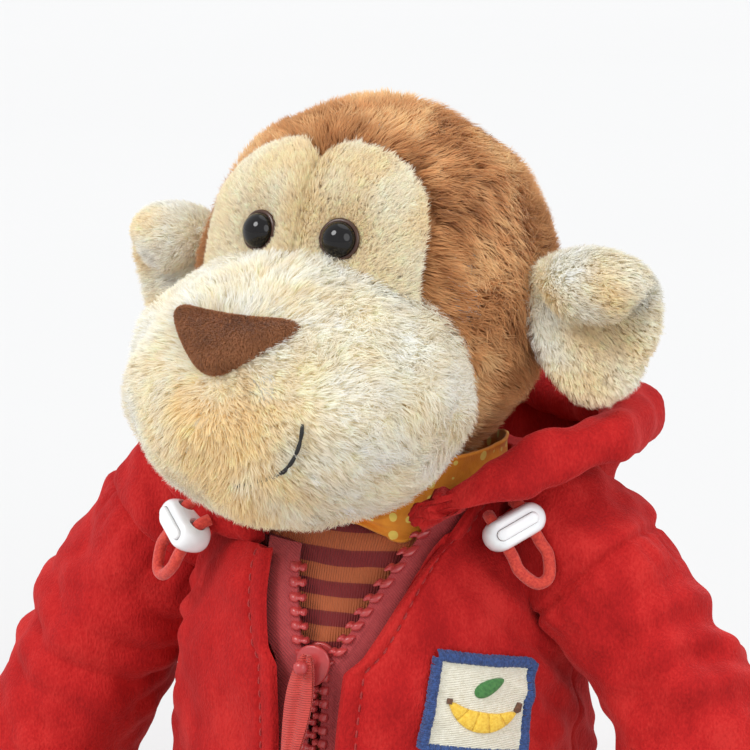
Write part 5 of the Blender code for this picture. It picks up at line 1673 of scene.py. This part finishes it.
def make_badge_border():
    """Overlocked thread: close loops laid over the badge's edge all the way round."""
    wide, tall = BADGE_HALF_WIDTH + BADGE_BORDER / 2, BADGE_HALF_HEIGHT + BADGE_BORDER / 2
    corners = np.array(((-wide, -tall), (wide, -tall), (wide, tall), (-wide, tall), (-wide, -tall)))
    length = np.concatenate([[0], np.cumsum(np.linalg.norm(np.diff(corners, axis=0), axis=1))])
    pitch = 0.42
    steps = np.arange(0, length[-1], pitch)
    pieces, faces = [], []
    around, spans = 6, 9
    turn = np.linspace(0, math.tau, around, endpoint=False)
    draw = np.random.default_rng(211)
    for step in steps:
        centre = np.array([np.interp(step, length, corners[:, k]) for k in (0, 1)])
        edge = min(int(np.searchsorted(length, step, side="right")) - 1, 3)
        way = unit(corners[edge + 1] - corners[edge])
        outwards = np.array((way[1], -way[0]))
        slant = way * draw.uniform(0.1, 0.4)
        share = np.linspace(-1, 1, spans)[:, None]
        reach = BADGE_BORDER / 2 + draw.uniform(-0.12, 0.12)
        flat = centre + outwards * share * reach + slant * share
        rise = 1.9 - 1.5 * share[:, 0] ** 4
        line = badge_point(flat[:, 0], flat[:, 1], rise)
        ahead = unit(np.gradient(line, axis=0))
        out = unit(line * (1, 1, 0))
        a = unit(np.cross(ahead, out))
        b = np.cross(ahead, a)
        ring = 0.27 * (
            np.cos(turn)[None, :, None] * a[:, None] + np.sin(turn)[None, :, None] * b[:, None]
        )
        start = len(pieces) * spans * around
        pieces.append((line[:, None] + ring).reshape(-1, 3))
        faces.append(grid_faces(spans, around, True, start))
    object_of(
        "badge_edge", np.concatenate(pieces), np.vstack(faces), "blue_thread", "torso",
        ("badge_border",)
    )


def felt(name, outline, rise, material):
    """A small cut-out of felt laid on the badge, puffed a little. outline holds (x, z) points."""
    outline = np.asarray(outline) * MOTIF_SIZE
    centre = outline.mean(axis=0)
    share = np.array((0.0, 0.3, 0.6, 0.85, 0.96, 1.0, 1.0))
    lift = np.array((1.0, 0.97, 0.9, 0.75, 0.55, 0.3, -0.4)) * rise
    rows = [
        badge_point(*(centre + (outline - centre) * s).T, 1.1 + up) for s, up in zip(share, lift)
    ]
    faces = grid_faces(len(share), len(outline), True)
    made = object_of(name, np.array(rows).reshape(-1, 3), faces, material, "torso")
    close_and_merge(made)


def make_badge_motif():
    """A plain banana with a leaf, in felt."""
    turn = np.linspace(math.radians(200), math.radians(330), 30)
    middle = np.array((0.6, 3.4))
    outer = middle + 8.6 * np.stack([np.cos(turn), np.sin(turn)], axis=1)
    inner_turn = turn[::-1]
    thick = 3.7 * np.sin((inner_turn - turn[0]) / (turn[-1] - turn[0]) * math.pi) ** 0.6 + 0.5
    inner = middle + (8.6 - thick)[:, None] * np.stack(
        [np.cos(inner_turn), np.sin(inner_turn)], axis=1
    )
    halves = np.array_split(np.arange(30), 5)
    for index, part in enumerate(halves):
        stop = min(part[-1] + 2, 30)
        low = outer[part[0] : stop]
        high = inner[30 - stop : 30 - part[0]]
        felt(f"motif_banana_{index}", np.vstack([low, high]), 0.9, "yellow_felt")
    stalk = outer[-1] + np.array(((0, 0), (0.9, 0.3), (1.2, 2.0), (0.2, 2.2), (-0.6, 0.5)))
    felt("motif_stalk", stalk, 1.0, "brown_felt")
    felt(
        "motif_tip", outer[0] + np.array(((-0.5, -0.2), (0.6, -0.3), (0.7, 0.8), (-0.4, 0.8))), 1.0,
        "brown_felt"
    )
    leaf = np.linspace(0, math.tau, 26, endpoint=False)
    along = 3.6 * np.cos(leaf)
    wide = 1.5 * np.sin(leaf) * (1 - 0.35 * np.cos(leaf))
    a = math.radians(28)
    shape = np.stack(
        [along * math.cos(a) - wide * math.sin(a), along * math.sin(a) + wide * math.cos(a)], axis=1
    )
    felt("motif_leaf", shape + np.array((1.0, 4.2)), 0.8, "green_felt")


# ---------------------------------------------------------------- cord locks


LOCK_HALF = (7.6, 4.0, 4.2)  # along, out of the chest, up
LOCK_HOLES_APART = 7.2
LOCK_ANGLE = {1: 62.0, -1: 46.0}
LOCK_OUT = {1: 10.2, -1: 14.2}
LOCK_DROP = {1: 4.5, -1: -2.0}
CORD_RADIUS = 1.4
CORD_LOOP = 9.0


def lock_axes():
    facing = unit(np.array((0.50, -0.80, 0.33)))
    along = np.array((0.683, 0.60, 0.418))
    along = unit(along - facing * (along @ facing))
    return along, np.cross(along, facing), facing


def lock_middle(side):
    edge = jacket_point(LOCK_ANGLE[side], NECKLINE_BACK, VELOUR)
    place = edge + unit(edge * (1, 1, 0)) * LOCK_OUT[side]
    place[2] = float(neckline(LOCK_ANGLE[side], side)) - LOCK_DROP[side]
    return place


def in_lock(points, side):
    """Points of the left lock's frame (along, outwards, up), mirrored for the right one."""
    along, down, facing = lock_axes()
    points = np.asarray(points, float)
    place = lock_middle(side) + points[..., :1] * along
    place = place + points[..., 1:2] * facing - points[..., 2:] * down
    return place * np.array((side, 1, 1))


def make_locks():
    for name, side in SIDES:
        along, out, tall = LOCK_HALF
        tall -= 0.55
        turn = np.linspace(0, math.tau, 64, endpoint=False)
        straight = along - tall
        shape = np.stack(
            [np.sign(np.cos(turn)) * straight + tall * np.cos(turn), tall * np.sin(turn)], axis=1
        )
        levels = []
        for a in np.radians(np.linspace(-90, 90, 13)):
            size = 1 - 0.30 * (1 - math.cos(a)) ** 1.2
            levels.append((size, out * math.sin(a)))
        steps = [(0.0, -out), *levels, (0.56, out), (0.0, out)]
        rows = []
        for size, depth in steps:
            flat = shape * np.array((1, 1)) * size
            rows.append(np.stack([flat[:, 0], np.full(64, float(depth)), flat[:, 1]], axis=1))
        points = in_lock(np.array(rows), side).reshape(-1, 3)
        body = object_of(
            f"lock_{name}_shell", points, grid_faces(len(steps), 64, True), "lock_white", "torso",
            (f"cord_lock_{name}",)
        )
        close_and_merge(body)
        cut_holes(body, name, side)
        slot_plate(name, side)
        make_drawcord(name, side)


def lock_rings(shape, steps, side):
    """Rings of an (along, up) outline at (size, depth) steps, as points of the doll's frame."""
    rows = [
        np.stack(
            [shape[:, 0] * size, np.full(len(shape), float(depth)), shape[:, 1] * size], axis=1
        )
        for size, depth in steps
    ]
    return in_lock(np.array(rows), side).reshape(-1, 3), grid_faces(len(steps), len(shape), True)


def pad_outline(half_long, half_wide, count=48):
    """A flat oval with straight sides."""
    turn = np.linspace(0, math.tau, count, endpoint=False)
    straight = np.sign(np.cos(turn)) * (half_long - half_wide)
    return np.stack([straight + half_wide * np.cos(turn), half_wide * np.sin(turn)], axis=1)


def bore(body, tool):
    """Cuts a tool out of a lock's body, applied at once."""
    close_and_merge(tool)
    cutter = body.modifiers.new("bore", "BOOLEAN")
    cutter.operation = "DIFFERENCE"
    cutter.solver = "EXACT"
    cutter.object = tool
    apply_modifiers(body)
    data = tool.data
    bpy.data.objects.remove(tool)
    bpy.data.meshes.remove(data)


def cut_holes(body, name, side):
    """The two cord holes, and the slot that the button sinks into."""
    turn = np.linspace(0, math.tau, 28, endpoint=False)
    radius = CORD_RADIUS + 0.4
    heights = (
        (0.0, -7), (1.6, -7), (1.3, -3.9), (1.0, -3.1), (1.0, 3.1), (1.3, 3.9), (1.6, 7), (0.0, 7)
    )
    for k in (-1, 1):
        rows = []
        for size, height in heights:
            x = k * LOCK_HOLES_APART / 2 + radius * size * np.cos(turn)
            rows.append(
                np.stack([x, radius * size * np.sin(turn), np.full(28, float(height))], axis=1)
            )
        points = in_lock(np.array(rows), side).reshape(-1, 3)
        bore(body, object_of(f"bore_{name}_{k + 1}", points, grid_faces(len(heights), 28, True)))
    steps = ((0.0, 2.1), (1.0, 2.1), (1.0, 4.4), (0.0, 4.6))
    points, faces = lock_rings(pad_outline(5.35, 1.40), steps, side)
    bore(body, object_of(f"slot_{name}", points, faces))
    body.data.polygons.foreach_set("use_smooth", np.full(len(body.data.polygons), True))
    body.data.set_sharp_from_angle(angle=math.radians(40))


def apply_modifiers(made):
    bpy.context.view_layer.update()
    done = made.evaluated_get(bpy.context.evaluated_depsgraph_get())
    mesh = bpy.data.meshes.new_from_object(done)
    old = made.data
    made.modifiers.clear()
    made.data = mesh
    bpy.data.meshes.remove(old)


def slot_plate(name, side):
    """The sprung button: a long pad that stands a little out of its slot."""
    steps = (
        (0.0, 3.75), (0.94, 3.75), (1.0, 3.85), (1.0, 4.5), (0.97, 4.72), (0.88, 4.85), (0.5, 4.9),
        (0.0, 4.9)
    )
    points, faces = lock_rings(pad_outline(5.25, 1.3), steps, side)
    made = object_of(
        f"button_{name}", points, faces, "lock_white", f"lock_{name}", (f"lock_button_{name}",)
    )
    close_and_merge(made)


def drawcord_route(side):
    """The route of the CAD cord: down one hole, round a hanging loop and up the other."""
    tall = LOCK_HALF[2]
    half = LOCK_HOLES_APART / 2
    path = [
        (half * 0.9, -2.6, tall + 0.9),
        (half, -0.5, tall * 0.8),
        (half, 0, 0),
        (half, 0, -tall - 1.5),
        (half * 1.05, -0.2, -tall - CORD_LOOP * 0.55),
        (half * 0.55, -0.8, -tall - CORD_LOOP),
        (0, -0.8, -tall - CORD_LOOP - 0.9),
    ]
    path += [(-x, y, z) for x, y, z in path[-2::-1]]
    return through(in_lock(np.array(path), side), 8)


def make_drawcord(name, side):
    line = drawcord_route(side)
    data = bpy.data.curves.new(f"cord_{name}", "CURVE")
    data.dimensions = "3D"
    spline = data.splines.new("POLY")
    spline.points.add(len(line) - 1)
    for place, point in zip(spline.points, line * MM):
        place.co = (*point, 1)
    data.bevel_depth = CORD_RADIUS * MM
    data.bevel_resolution = 5
    data.use_fill_caps = True
    data.materials.append(MATERIALS["cord_red"])
    made = bpy.data.objects.new(f"cord_{name}", data)
    bpy.context.scene.collection.objects.link(made)
    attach(made, "torso")
    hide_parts(f"drawcord_{name}")


# ---------------------------------------------------------------- camera, light and kept CAD nodes


def make_camera():
    """A long lens, a little above the head and to the doll's left."""
    middle = Vector(HEAD[0] * MM)
    distance = 0.6  # in metres
    azimuth, elevation = math.radians(22), math.radians(14)
    ahead = Vector(
        (
            -math.sin(azimuth) * math.cos(elevation),
            math.cos(azimuth) * math.cos(elevation),
            -math.sin(elevation),
        )
    )
    right = Vector((math.cos(azimuth), math.sin(azimuth), 0))
    up = right.cross(ahead)
    place = middle - distance * ahead - right * 1.16 * MM - up * 21.63 * MM
    lens = bpy.data.cameras.new("camera")
    lens.sensor_width = 36.0
    lens.lens = 123.84
    lens.clip_start = 0.02
    lens.clip_end = 50
    made = bpy.data.objects.new("camera", lens)
    bpy.context.scene.collection.objects.link(made)
    turn = Matrix((right, up, -ahead)).transposed().to_4x4()
    made.matrix_world = Matrix.Translation(place) @ turn
    bpy.context.scene.camera = made


def soft_light(name, way, strength, spread):
    """A distant soft light, so the floor is lit evenly. way points from the doll to the light."""
    data = bpy.data.lights.new(name, "SUN")
    data.energy = strength
    data.angle = math.radians(spread)
    made = bpy.data.objects.new(name, data)
    bpy.context.scene.collection.objects.link(made)
    made.rotation_euler = Vector(way).to_track_quat("Z", "Y").to_euler()


def make_studio():
    soft_light("key", (-0.75, -1.1, 1.25), 1.60, 24)
    soft_light("fill", (1.5, -0.9, 0.8), 0.80, 40)
    soft_light("top", (0.2, 0.6, 1.7), 0.60, 50)
    world = bpy.data.worlds.new("studio")
    bpy.context.scene.world = world
    world.use_nodes = True
    world.node_tree.nodes["Background"].inputs["Color"].default_value = (0.95, 0.97, 1.0, 1)
    world.node_tree.nodes["Background"].inputs["Strength"].default_value = 0.86
    half = 40000.0
    corners = np.array(((-half, -half, 0), (half, -half, 0), (half, half, 0), (-half, half, 0)))
    floor = object_of("floor", corners, np.array([[0, 1, 2, 3]]), "floor")
    bpy.context.scene.view_settings.view_transform = "Standard"


def dress_cad():
    """Better materials for the CAD nodes that keep their own shape."""
    kept = {
        "zip_bottom_box": "zip_plastic",
        "neck_core": "fibre_fill",
        "head_stuffing": "fibre_fill",
        "muzzle_stuffing": "fibre_fill",
        "body_stuffing": "fibre_fill",
        "pellet_bag": "badge_cotton",
    }
    for name, _ in SIDES:
        kept[f"arm_filling_{name}"] = "fibre_fill"
        kept[f"leg_filling_{name}"] = "fibre_fill"
        kept[f"eye_washer_{name}"] = "washer_plastic"
        kept[f"lock_spring_{name}"] = "spring_steel"
    for node, material in kept.items():
        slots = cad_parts[node].material_slots
        for slot in slots:
            slot.material = MATERIALS[material]


FUR = {
    "crown": 66000,
    "brow": 40000,
    "muzzle": 66000,
    "nose": 12000,
    "ear": 30000,
    "body": 22000,
    "wrist": 9000,
    "hand": 14000,
    "leg": 36000,
    "foot": 24000,
    "tail": 16000,
}
HEAD = head_place()
make_materials()
make_camera()
make_studio()
make_locks()
make_crown()
make_brow()
make_muzzle()
make_nose()
make_smile()
make_eyes()
make_ears()
make_limbs()
make_shirt()
make_neckerchief()
make_fronts()
make_back()
make_sleeves()
make_hood()
make_zip()
make_slider()
make_ribbon()
make_badge()
dress_cad()
